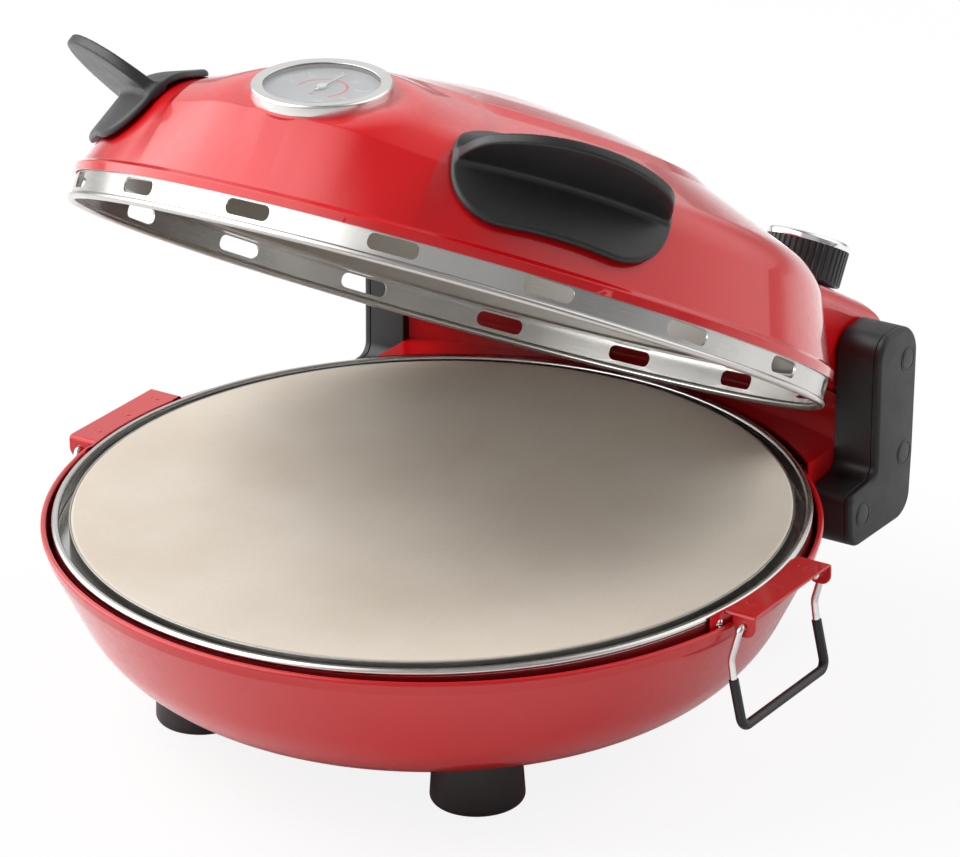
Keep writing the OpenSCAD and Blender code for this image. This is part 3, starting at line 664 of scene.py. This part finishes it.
def make_band():
    """The steel hoop round the stone, with its overlapped seam."""
    inner, outer = STONE_R + HOOP_GAP, STONE_R + HOOP_GAP + HOOP_T
    high, low = -0.5, 0.4 - STONE_T
    corners = [(r, z, 0.2) for r, z in ((inner, high), (outer, high), (outer, low), (inner, low))]
    band = Shape().lathe(bent(corners, 30, closed=True), 320)
    make("stone_hoop", band, BASE, BAND_STEEL, "stone", ["stone_band"])
    turn = np.linspace(*np.radians(SEAM_FROM_TO), 16)
    inside, outside = outer - 0.1, outer + 0.22
    lap_line = [(inside, -0.7), (outside, -0.8), (outside, 0.7 - STONE_T), (inside, 0.6 - STONE_T)]
    rows = [about_z(r, turn, z) for r, z in lap_line]
    lap = Shape().grid(np.stack(rows))
    for end in (0, -1):
        lap.add([row[end] for row in rows], [(0, 1, 2, 3)])
    make("stone_hoop_seam", lap, BASE, BAND_STEEL, "stone")


def element(z, leads):
    """A tube bent to a ring with a gap at the back, and its two leads."""
    gap = math.radians(ELEMENT_GAP / 2)
    around = np.linspace(gap, 2 * math.pi - gap, 96)
    ring = np.c_[ELEMENT_RING * np.sin(around), ELEMENT_RING * np.cos(around), np.full(len(around), z)]
    first, last = (np.array(v) for v in leads)
    line = np.concatenate([[first], ring, [last]])
    return bent(np.c_[line, np.r_[0, 5, np.zeros(len(ring) - 2), 5, 0]], 15)


def make_elements():
    lead = ELEMENT_RING * math.sin(math.radians(ELEMENT_GAP / 2))
    end = ELEMENT_RING * math.cos(math.radians(ELEMENT_GAP / 2))
    lower = Shape().tube(element(LOWER_Z, [(lead, 174, LOWER_Z), (-lead, 174, LOWER_Z)]), ELEMENT_R, 24)
    make("lower_heater", lower, BASE, DARK_STEEL, "base", ["lower_element"])
    upper = Shape().tube(element(UPPER_Z, [(lead, end, 67), (-lead, end, 67)]), ELEMENT_R, 24)
    make("upper_heater", upper, LID, DARK_STEEL, "lid", ["upper_element"])


ARM_OUTLINE = bent([
    (149.5, -12.5, 6), (126, -14.5, 5), (126.5, -40.5, 9), (179.5, -41, 12), (182.5, -10, 40),
    (186.3, 53.4, 15), (151.8, 52.2, 11)
], 5, closed=True)


def make_arms():
    for side, place in SIDES:
        inner = Shape().prism(ARM_OUTLINE, ARM_IN, ARM_SPLIT - 0.25, 0.8, 0.35)
        make(f"arm_{side}_body", inner, place, ARM_BLACK, "base", [f"arm_{side}_inner"])
        cover = Shape().prism(ARM_OUTLINE, ARM_SPLIT, ARM_OUT, 0.3, 2.2, 7)
        make(f"arm_{side}_cover", cover, place, ARM_BLACK, "base", [f"arm_{side}_outer"])


def make_plugs():
    plugs = Shape()
    face = bent([(0.01, 0.32, 0), (4.5, 0.32, 0.3), (4.75, 0.03, 0.05), (5.3, 0.03, 0.05), (5.45, 0.3, 0.1),
                 (5.8, 0.22, 0.1), (6.0, -0.6, 0)], 20)
    for mirrored in (1, -1):
        for y, z in ARM_SCREWS:
            place = shift(mirrored * ARM_OUT, y, z) @ turned(mirrored * 90, "Y")
            plugs.lathe(face, 48, closed=False, place=place)
    make("arm_plug_caps", plugs, BASE, BLACK, "base", ["arm_plugs"])


# ---------- brackets and bails ----------

def bracket_solid(p):
    x, y, z = p.T
    r = np.hypot(x, y)
    middle, half = (BRACKET_FRONT + BRACKET_BACK) / 2, (BRACKET_BACK - BRACKET_FRONT) / 2
    top = PLATE_LOW + PLATE_T
    along = round_box(y - middle, z - (top - 30), half, 30, 1.9)
    bend = np.abs(along + PLATE_T / 2) - PLATE_T / 2
    edge = np.maximum(x - BRACKET_X, FLANGE_R - r)
    tab = distance_to(TAB_OUTLINE, x, z)
    reach = np.where(z < PLATE_LOW - 0.6, np.maximum(tab, edge), edge)
    body = round_cut(bend, reach, 0.3)
    for at in BRACKET_SCREWS:
        angle = math.asin(at / RIM_R)
        away = (np.arctan2(y, x) - angle) * FLANGE_R
        flat = round_box(away, z - FLANGE_Z, *FLANGE_HALF, 1.0)
        plate = round_cut(np.abs(r - FLANGE_R - FLANGE_T / 2) - FLANGE_T / 2, flat, 0.2)
        body = np.minimum(body, plate)
    hole = np.hypot(x - BAIL_X, z - BAIL_Z) - WIRE_R - 0.15
    body = np.maximum(body, -np.where(z < -2, hole, 9))
    for at in WELD_MARKS:
        mark = np.abs(np.hypot(x - WELD_X, y - at) - WELD_R) - 0.32
        mark = np.maximum(mark, np.maximum(y - at, np.abs(z - top) - 0.18))
        body = np.maximum(body, -mark)
    return body


TAB_OUTLINE = bent([
    (BRACKET_X, PLATE_LOW + 0.6, 0), (171.5, PLATE_LOW + 0.6, 0), (171.5, -4, 0), (173.5, TAB_LOW, 2),
    (BRACKET_X, TAB_LOW, 5)
], 15, closed=True)


def screw_solid(p):
    """A pan head with a cross recess, along +Z from its seat."""
    x, y, z = p.T
    r = np.hypot(x, y)
    head = round_cut(np.hypot(r, z + 3.6) - 4.3, r - 2.7, 0.2)
    head = np.maximum(head, -z - 0.3)
    depth = 0.2 - z + np.maximum(r - 0.6, 0) * 0.3
    thin, long = 0.36, 1.5
    arms = np.minimum(np.maximum(np.abs(x) - thin, np.abs(y) - long),
                      np.maximum(np.abs(y) - thin, np.abs(x) - long))
    return np.maximum(head, -np.maximum(arms, depth))


def make_brackets():
    solid = skin(bracket_solid, (166, -40, -13), (184.5, 52, 1), 0.42, 2)
    for side, place in SIDES:
        make(f"side_bracket_{side}", solid, place, PAINT, "base", [f"bracket_{side}"])
    head = skin(screw_solid, (-4, -4, -0.6), (4, 4, 2), 0.13, 2)
    screws = Shape()
    points, faces = head.points[0], head.faces
    for mirrored in (Matrix.Identity(4), MIRROR):
        for i, y in enumerate(BRACKET_SCREWS):
            angle = math.degrees(math.asin(y / RIM_R))
            place = (mirrored @ turned(angle, "Z") @ shift(FLANGE_R + FLANGE_T, 0, BRACKET_SCREW_Z)
                     @ turned(90, "Y") @ turned(25 + 50 * i, "Z"))
            screws.add(moved(points, place), faces)
    make("pan_head_screws", screws, BASE, CHROME, "base", ["bracket_screws"])


def bail_line(front, back, start, ends):
    """The bail's line from leg point start, down, across and up again."""
    down = [(x, front, z, bend) for x, z, bend in LEG[start:]]
    up = [(x, back, z, bend) for x, z, bend in LEG[start:][::-1]]
    return bent(ends[0] + down + up + ends[1], 9)


def make_bails():
    front, back = BRACKET_FRONT - 2.6, BRACKET_BACK + 2.6
    wire = bail_line(front, back, 0, ([(BAIL_X, BRACKET_FRONT + 5, BAIL_Z, 0)],
                                      [(BAIL_X, BRACKET_BACK - 5, BAIL_Z, 0)]))
    low, bottom = np.array(LEG[2][:2]), np.array(LEG[3][:2])
    grip = low + (bottom - low) * 0.05
    sleeve = bail_line(front, back, 3, ([(grip[0], front, grip[1], 0)], [(grip[0], back, grip[1], 0)]))
    for side, place in SIDES:
        body = f"bail_{side}"
        make(f"bail_{side}_rod", Shape().tube(wire, WIRE_R, 20), place, CHROME, body,
             [f"bail_{side}_wire"])
        make(f"bail_{side}_grip", Shape().tube(sleeve, SLEEVE_R, 24, 0.12), place, RUBBER, body,
             [f"bail_{side}_sleeve"])


# ---------- lid ----------

DOME_SIDE = [(172.3, 17.9, 1.2), (169.8, 19.4, 1.4), (154, 58.4, 28), (101, 79.2, 9), (93, 83.7, 7),
             (66, 89.9, 80), (20, 96.4, 60), (0, 96.4, 0)]
DOME_PATH = bent([(172.3, DOME_LOW, 0)] + DOME_SIDE, 2.5)
DOME_SOLID = np.concatenate([bent([(172.3, DOME_LOW - 30, 0)] + DOME_SIDE, 6), [(0, DOME_LOW - 30)]])
TO_GAUGE = np.array((shift(*GAUGE_AT) @ turned(GAUGE_TILT, "X")).inverted())
BOSS_PATH = [(-45, 50), (-34, 44.5), (-12, 37.5), (-5, 34.2), (-1.5, 31.8), (0.4, 30.9)]
SHOULDER_R, SHOULDER_STRETCH, SHOULDER_GROW, SHOULDER_FLARE = 36.5, 1.18, 11.5, 1.6
BOSS_REACH, BOSS_FADE, DOME_MIDDLE = 78.0, 10.0, (0, -112.0, 18.0)


def dome_distance(p):
    return distance_to(DOME_SOLID, np.hypot(p[:, 0], p[:, 1]), p[:, 2])


def boss_distance(p):
    q = p @ TO_GAUGE[:3, :3].T + TO_GAUGE[:3, 3]
    r = np.hypot(q[:, 0], q[:, 1])
    heights, radii = np.array(BOSS_PATH).T
    side = (r - np.interp(q[:, 2], heights, radii)) * 0.93
    boss = round_cut(side, q[:, 2] + 0.1, 0.8)
    wide = (np.hypot(q[:, 0] / SHOULDER_STRETCH, q[:, 1]) - SHOULDER_R + q[:, 2] * SHOULDER_FLARE) * 0.5
    shoulder = round_cut(round_cut(wide, q[:, 2] + 0.4, 2.5), dome_distance(p) - SHOULDER_GROW, 2.0)
    return soft_union(boss, shoulder, 2.0)


def lid_solid(p):
    return soft_union(dome_distance(p), boss_distance(p), 9.0)


def make_dome():
    """The dome on a grid that is finer round the thermometer's boss, and moved out onto it."""
    near = math.radians(27)
    fine_turn = np.arange(-near, near, math.radians(0.42)) - math.pi / 2
    rest = np.linspace(near, 2 * math.pi - near, 216, endpoint=False) - math.pi / 2
    turn = np.concatenate([fine_turn, rest])
    lip = DOME_PATH[DOME_PATH[:, 1] <= 22]
    side = DOME_PATH[(DOME_PATH[:, 1] > 22) & (DOME_PATH[:, 0] >= 90)]
    top = DOME_PATH[DOME_PATH[:, 0] < 90]
    path = np.concatenate([lip, dense(side, 1.4), dense(top, 5)])
    path[-1, 0] = 0.01
    grid = about_z(path[:, :1], turn, path[:, 1:])
    points = grid.reshape(-1, 3)
    reach = np.linalg.norm(points - np.array(GAUGE_AT), axis=1)
    chosen = np.flatnonzero((reach < BOSS_REACH) & (points[:, 2] > 23))
    centre = np.array(DOME_MIDDLE)
    ray = points[chosen] - centre
    far = np.linalg.norm(ray, axis=1)[:, None]
    ray /= far
    for _ in range(40):
        far = far - lid_solid(centre + ray * far)[:, None] * 0.8
    fade = np.clip((BOSS_REACH - reach[chosen]) / BOSS_FADE, 0, 1)[:, None]
    points[chosen] = points[chosen] * (1 - fade) + (centre + ray * far) * fade
    dome = Shape().grid(points.reshape(grid.shape), wrap_columns=True)
    inner = beside(DOME_PATH, LID_WALL)[::4]
    inner[-1, 0] = 0.01
    edge = np.array([(172.3, DOME_LOW), (172.3 - LID_WALL, DOME_LOW)])
    dome.lathe(np.concatenate([edge, inner[1:]]), 192, closed=False)
    make("dome_shell", dome, LID, PAINT, "lid", ["lid_dome"], 50)
    lip_ring = Shape().lathe(bent([(28, -2, 0), (31.3, -2, 0), (31.2, 0.0, 0.8), (28, 0.0, 0)], 15), 160)
    make("boss_seat", lip_ring, GAUGE, PAINT, "lid")


def slot_cell(low, high, rings=5):
    """One slot's share of the skirt: a patch between its edge and the cell's border."""
    half = math.pi / SLOTS * SKIRT_R
    corners = [(SLOT_W / 2 * x, SLOT_Z + SLOT_H / 2 * z, SLOT_CORNER)
               for x, z in ((-1, -1), (1, -1), (1, 1), (-1, 1))]
    hole = dense(bent(corners, 15, closed=True), 1.5, closed=True)
    straight = SLOT_W / 2 - SLOT_CORNER
    border = []
    for x, z in hole:
        if abs(x) < straight:
            border.append((x * half / straight, high if z > SLOT_Z else low))
        else:
            rise = (z - SLOT_Z) / (SLOT_H / 2)
            border.append((math.copysign(half, x), SLOT_Z + rise * ((high if rise > 0 else low) - SLOT_Z) *
                           math.copysign(1, rise)))
    border = np.array(border)
    border[:, 1] = np.clip(border[:, 1], low, high)
    share = np.linspace(0, 1, rings)[:, None, None]
    return hole * (1 - share) + border * share


def make_skirt():
    """The skirt band with its slots, its rolled hem and its inner ledge."""
    low, high = HEM_Z, DOME_LOW + 0.6
    skirt = Shape()
    wall = 1.0
    flat = slot_cell(low, high)
    for i in range(SLOTS):
        turn = i * 2 * math.pi / SLOTS
        edges = []
        for radius in (SKIRT_R, SKIRT_R - wall):
            points = about_z(radius, turn + flat[..., 0] / SKIRT_R, flat[..., 1])
            lay = np.concatenate([flat, flat[:, :1]], 1) * MM + np.array((turn * SKIRT_R * MM, 0))
            skirt.grid(points, lay, False, True)
            edges.append(points[0])
        skirt.grid(np.stack(edges), wrap_columns=True)
    skirt.lathe(roll_outline(LID_R - HEM_ROLL, HEM_Z, HEM_ROLL, 24), 320)
    skirt.lathe([(SKIRT_R, high), (SKIRT_R, 18.4), (SKIRT_R - wall, 18.4), (SKIRT_R - wall, high)], 256)
    skirt.lathe([(SKIRT_R - wall, 14.9), (158.6, 14.9), (158.6, 14), (SKIRT_R - wall, 14)], 256)
    make("slotted_skirt", skirt, LID, SKIRT_STEEL, "lid", ["lid_skirt"], 40)


def make_reflector():
    path = bent([(169.2, 15.7, 0), (157.5, 15.7, 1.5), (147, 43, 18), (98, 61, 14), (88, 70, 10),
                 (30, 76, 40), (0.01, 76, 0)], 8)
    inner = Shape().lathe(sheet(path, 0.8), 192)
    make("reflector_pan", inner, LID, PAN_STEEL, "lid", ["lid_reflector"])


# ---------- handles ----------

PLATE_PATH = bent([(124.9, 73, 0), (157.5, 61.2, 24), (173.4, 23.8, 0)], 5)
PLATE_BODY = sheet(np.concatenate([[PLATE_PATH[0] * 2 - PLATE_PATH[1]], PLATE_PATH]), -3.0)
PLATE_H, PLATE_AT, HANDLE_W, PLATE_CORNER = 54.0, (150.7, 50.8), 97.0, 25.0
FIN_AXIS, FIN_TILT, FIN_HALF, FIN_R = (138.0, 47.5), 22.0, 48.0, 55.7
FIN_WIDTHS = [(0, 3.4), (28, 3.1), (FIN_R - 5, 2.6), (FIN_R, 2.3), (FIN_R + 9, 2.3)]


def handle_solid(p):
    """A curved plate and the fin that stands on it, in the handle's own frame."""
    x, y, z = p.T
    rho = np.hypot(x, y)
    tilted = math.sqrt(0.5)
    shield = round_box((x - PLATE_AT[0]) * tilted - (z - PLATE_AT[1]) * tilted, y, PLATE_H / 2, HANDLE_W / 2,
                       PLATE_CORNER)
    plate = round_cut(distance_to(PLATE_BODY, rho, z), shield, 1.1)
    tilt = math.radians(FIN_TILT)
    out = (x - FIN_AXIS[0]) * math.cos(tilt) + (z - FIN_AXIS[1]) * math.sin(tilt)
    up = -(x - FIN_AXIS[0]) * math.sin(tilt) + (z - FIN_AXIS[1]) * math.cos(tilt)
    reach = np.hypot(out, y)
    half = np.interp(reach, *np.array(FIN_WIDTHS).T)
    edge = round_cut(reach - FIN_R, np.abs(y) - FIN_HALF, 10.0)
    fin = round_cut(np.abs(up) - half, edge, 0.8)
    fin = np.maximum(fin, 8 - out)
    both = soft_union(plate, fin, 3.0)
    return np.maximum(both, 0.35 - dome_distance(p))


def make_handles():
    shape = skin(handle_solid, (124, -50, 24), (198, 50, 84), 0.95, 3)
    for side, turn in HANDLE_TURNS.items():
        place = LID @ turned(-90 + turn, "Z")
        make(f"handle_{side}_grip", shape, place, BLACK, "lid", [f"handle_{side}"], 60)


# ---------- thermometer ----------

DIAL_TOP, NUMBER_R, NUMBER_SIZE = 1.84, 15.6, 3.0
ARC_FROM, ARC_TO, ARC_INNER, ARC_OUTER, ARC_STEPS = -42, 190, 10.2, 11.3, 60
MARKS, MARK_FIRST, MARK_EACH, MARK_OUTER = 31, -60, 8, 21.6
LONG_MARK, SHORT_MARK = (18.6, 0.22), (20.0, 0.12)


def make_gauge():
    bezel = bent([
        (BEZEL_R, 0, 0.3), (BEZEL_R, BEZEL_H - 0.2, 1.1), (24.9, BEZEL_H - 0.5, 0.6), (24.5, 4.8, 0.1),
        (27, 4.8, 0), (27, 3.8, 0), (28.5, 3.8, 0), (28.5, 0, 0)
    ], 12, closed=True)
    make("bezel_ring", Shape().lathe(bezel, 256), GAUGE, BEZEL_STEEL, "lid", ["gauge_bezel"])
    dial = bent([(0.01, 1.8, 0), (28.2, 1.8, 0), (28.2, 1.0, 0), (0.01, 1.0, 0)], 15)
    make("dial_disc", Shape().lathe(dial, 160, closed=False), GAUGE, DIAL, "lid", ["gauge_dial"])
    ring = Shape().lathe(bent([(28.1, 1.8, 0), (28.1, 3.7, 0), (25.2, 3.7, 0.4), (25.0, 1.8, 0)], 20), 160)
    make("lens_seal", ring, GAUGE, BLACK, "lid", ["gauge_gasket"])
    lens = Shape().lathe(dense([(0.01, 4.8), (26.9, 4.8), (26.9, 3.9), (0.01, 3.9)], 6), 160, closed=False)
    make("lens_disc", lens, GAUGE, GLASS, "lid", ["gauge_glass"])
    turn = np.radians(np.linspace(ARC_FROM, ARC_TO, ARC_STEPS))
    arc = Shape().grid(np.stack([about_z(r, turn, DIAL_TOP) for r in (ARC_INNER, ARC_OUTER)]))
    make("dial_arc", arc, GAUGE, DIAL_RED, "lid")
    marks = Shape()
    for i in range(MARKS):
        turn = math.radians(MARK_FIRST + MARK_EACH * i)
        inner, width = SHORT_MARK if i % 5 else LONG_MARK
        way, across = np.array((math.cos(turn), math.sin(turn))), np.array((-math.sin(turn), math.cos(turn)))
        box = [way * r + across * w for r, w in ((inner, -width), (MARK_OUTER, -width), (MARK_OUTER, width),
                                                 (inner, width))]
        marks.add([(*p, DIAL_TOP) for p in box], [(0, 1, 2, 3)])
    make("dial_marks", marks, GAUGE, DIAL_WHITE, "lid")
    hub = bent([(0.01, 3.3, 0), (2.2, 3.3, 0.5), (2.6, 2.1, 0.2), (0.01, 2.1, 0)], 20)
    hub = Shape().lathe(hub, 48, closed=False)
    needle = [(-0.5, -5), (0.5, -5), (0.22, 17), (-0.22, 17)]
    thick = [np.array([(x, y, z) for x, y in needle]) for z in (2.3, 2.8)]
    hub.add(np.concatenate(thick), [(0, 1, 2, 3), (7, 6, 5, 4), (0, 4, 5, 1), (1, 5, 6, 2), (2, 6, 7, 3),
                                    (3, 7, 4, 0)])
    make("needle_hand", hub, GAUGE, NEEDLE, "needle", ["gauge_needle"])
    for i, value in enumerate(range(0, 601, 100)):
        curve = bpy.data.curves.new(f"dial_number_{i}", "FONT")
        curve.body, curve.size = str(value), NUMBER_SIZE * MM
        curve.align_x = curve.align_y = "CENTER"
        number = placed(f"dial_number_{i}", curve)
        turn = math.radians(180 - 40 * i)
        spot = shift(NUMBER_R * math.cos(turn), NUMBER_R * math.sin(turn), DIAL_TOP + 0.01)
        number.matrix_world = scaled(GAUGE @ spot)
        curve.materials.append(DIAL_WHITE)
        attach(number, "lid")


def scaled(place):
    """A placement in millimetres as one in metres."""
    made = place.copy()
    made.translation = place.translation * MM
    return made


# ---------- knob ----------

RIBS, RIB_STEPS, RIB_DEPTH, CAP_LOW, CAP_TOP = 40, 8, 0.75, -1.9, 1.6


def make_knob():
    """The ribbed barrel and the bright cap over its end."""
    turn = equal_turns(RIBS * RIB_STEPS)
    wave = np.clip(np.cos(turn * RIBS) * 2.2 + 0.9, -1, 1) * 0.5 - 0.5
    end = KNOB_H - 1.6
    # radius, height, share of the ribs' depth
    profile = [(KNOB_R - 2.5, -2.4, 0), (KNOB_R - 0.9, -2.4, 0), (KNOB_R - 0.4, -2.0, 0),
               (KNOB_R - 0.35, -1.2, 1), (KNOB_R - 0.2, 8, 1), (KNOB_R - 0.1, end - 0.1, 1),
               (KNOB_R - 0.5, end, 0), (KNOB_R - 4, end, 0)]
    rows = [about_z(radius + RIB_DEPTH * wave * cut, turn, z) for radius, z, cut in profile]
    barrel = Shape().grid(np.stack(rows), wrap_columns=True)
    barrel.lathe([(KNOB_R - 2.5, -2.4), (KNOB_R - 2.5, 3), (3, 3)], 96, closed=False)
    make("knob_barrel", barrel, KNOB, BLACK, "knob", ["knob_body"], 40)
    cap = bent([(0.01, 0.9, 0), (KNOB_R - 4, 0.9, 2), (KNOB_R - 2.8, CAP_TOP, 0.5),
                (KNOB_R - 1.2, CAP_TOP, 1.2), (KNOB_R - 0.1, 0.4, 0.8), (KNOB_R - 0.1, CAP_LOW, 0.2),
                (KNOB_R - 1.5, CAP_LOW, 0)], 8)
    make("knob_cap_disc", Shape().lathe(cap, 160, closed=False), KNOB @ shift(0, 0, KNOB_H), CAP_CHROME,
         "knob", ["knob_cap"])


# ---------- materials of the CAD nodes that stay as they are ----------

KEPT = [
    (PAINT, ("rear_box", "rear_deck", "lid_rear_housing")),
    (PAN_STEEL, ("rear_floor", "lower_element_clips", "upper_element_clips")),
    (FASTENER, ("pan_posts", "foot_screws", "arm_screws", "hinge_pins", "handle_screws", "gauge_case",
                "gauge_probe", "gauge_nut", "thermostat", "thermostat_nut", "knob_shaft")),
    (ARM_BLACK, ("cord_gland",)),
    (CERAMIC, ("terminal_block",)),
]


def dress_kept():
    for look, names in KEPT:
        for name in names:
            materials = NODES[name].data.materials
            materials.clear()
            materials.append(look)


# ---------- floor, lights and camera ----------

def make_floor():
    """A plain floor that looks white to the camera and keeps the object's shadow."""
    mesh = bpy.data.meshes.new("floor")
    points = [(x, y, -FLOOR_DROP) for y in (-FLOOR_SIZE, FLOOR_SIZE) for x in (-FLOOR_SIZE, FLOOR_SIZE)]
    mesh.from_pydata(points, [], [(0, 1, 3, 2)])
    floor = placed("floor", mesh)
    look = bpy.data.materials.new("floor_white")
    look.use_nodes = True
    nodes, links = look.node_tree.nodes, look.node_tree.links
    shader = nodes["Principled BSDF"]
    shader.inputs["Base Color"].default_value = (FLOOR_WHITE, FLOOR_WHITE, FLOOR_WHITE, 1)
    shader.inputs["Roughness"].default_value = 0.6
    shader.inputs["Specular IOR Level"].default_value = 0.0
    share = nodes.new("ShaderNodeMath")
    share.operation = "MULTIPLY"
    share.inputs[1].default_value = FLOOR_GLOW
    links.new(nodes.new("ShaderNodeLightPath").outputs["Is Camera Ray"], share.inputs[0])
    mix = nodes.new("ShaderNodeMixShader")
    for i, part in enumerate((share, shader, nodes.new("ShaderNodeEmission"))):
        links.new(part.outputs[0], mix.inputs[i])
    links.new(mix.outputs[0], nodes["Material Output"].inputs["Surface"])
    mesh.materials.append(look)


def make_background(nodes, strength):
    made = nodes.new("ShaderNodeBackground")
    made.inputs["Color"].default_value = (1, 1, 1, 1)
    made.inputs["Strength"].default_value = strength
    return made


def make_world():
    """A grey room that shows soft-edged white panels to mirrors, and white to the camera."""
    world = bpy.data.worlds.new("studio")
    bpy.context.scene.world = world
    world.use_nodes = True
    nodes, links = world.node_tree.nodes, world.node_tree.links
    way = nodes.new("ShaderNodeTexCoord").outputs["Generated"]
    total = None
    for place, start, full, power in SOFTBOXES:
        dot = nodes.new("ShaderNodeVectorMath")
        dot.operation = "DOT_PRODUCT"
        dot.inputs[1].default_value = seen(place).normalized()
        links.new(way, dot.inputs[0])
        panel = nodes.new("ShaderNodeMapRange")
        panel.interpolation_type = "SMOOTHSTEP"
        for i, v in enumerate((start, full, 0, power), 1):
            panel.inputs[i].default_value = v
        links.new(dot.outputs["Value"], panel.inputs[0])
        add = nodes.new("ShaderNodeMath")
        add.inputs[1].default_value = SKY_WHITE
        links.new(panel.outputs[0], add.inputs[0])
        if total is not None:
            links.new(total, add.inputs[1])
        total = add.outputs[0]
    room, panels, white = (make_background(nodes, strength) for strength in (ROOM, 1, 1))
    links.new(total, panels.inputs["Strength"])
    path = nodes.new("ShaderNodeLightPath")
    last = room.outputs[0]
    for ray, shader in (("Is Glossy Ray", panels), ("Is Camera Ray", white)):
        mix = nodes.new("ShaderNodeMixShader")
        links.new(path.outputs[ray], mix.inputs[0])
        links.new(last, mix.inputs[1])
        links.new(shader.outputs[0], mix.inputs[2])
        last = mix.outputs[0]
    links.new(last, nodes["World Output"].inputs["Surface"])


def make_lights():
    """Lamps that light the object; mirrors see the world's soft panels in their stead."""
    middle = Vector(LIT_MIDDLE)
    for name, place, (width, height), power in LIGHTS:
        data = bpy.data.lights.new(name, "AREA")
        data.shape = "RECTANGLE"
        data.size, data.size_y, data.energy = width, height, power
        lamp = placed(name, data)
        lamp.location = middle + seen(place)
        lamp.rotation_mode = "QUATERNION"
        lamp.rotation_quaternion = (-seen(place)).to_track_quat("-Z", "Y")
        lamp.visible_glossy = False


def camera_axes():
    azimuth, elevation, roll = (math.radians(a) for a in CAMERA_ANGLES)
    back = Vector((math.sin(azimuth) * math.cos(elevation), -math.cos(azimuth) * math.cos(elevation),
                   math.sin(elevation)))
    right = Vector((math.cos(azimuth), math.sin(azimuth), 0))
    up = back.cross(right)
    return (right * math.cos(roll) + up * math.sin(roll), up * math.cos(roll) - right * math.sin(roll), back)


def seen(place):
    """A direction given across the picture, up it and towards the camera."""
    right, up, back = camera_axes()
    across, rise, near = place
    return right * across + up * rise + back * near


def make_camera():
    data = bpy.data.cameras.new("camera")
    data.sensor_fit, data.sensor_width = "HORIZONTAL", CAMERA_SENSOR
    data.lens = CAMERA_REACH * CAMERA_SENSOR
    data.clip_start, data.clip_end = 0.1, 30
    camera = placed("camera", data)
    place = Matrix(camera_axes()).transposed().to_4x4()
    place.translation = Vector(CAMERA_AT)
    camera.matrix_world = place
    bpy.context.scene.camera = camera


def build():
    make_camera()
    make_world()
    make_floor()
    make_lights()
    for step in (make_bowl, make_feet, make_rim, make_pan, make_stone, make_band, make_elements, make_arms,
                 make_plugs, make_brackets, make_bails, make_dome, make_skirt, make_reflector, make_handles,
                 make_gauge, make_knob, dress_kept):
        step()
    bpy.context.scene.view_settings.view_transform = "Standard"


build()
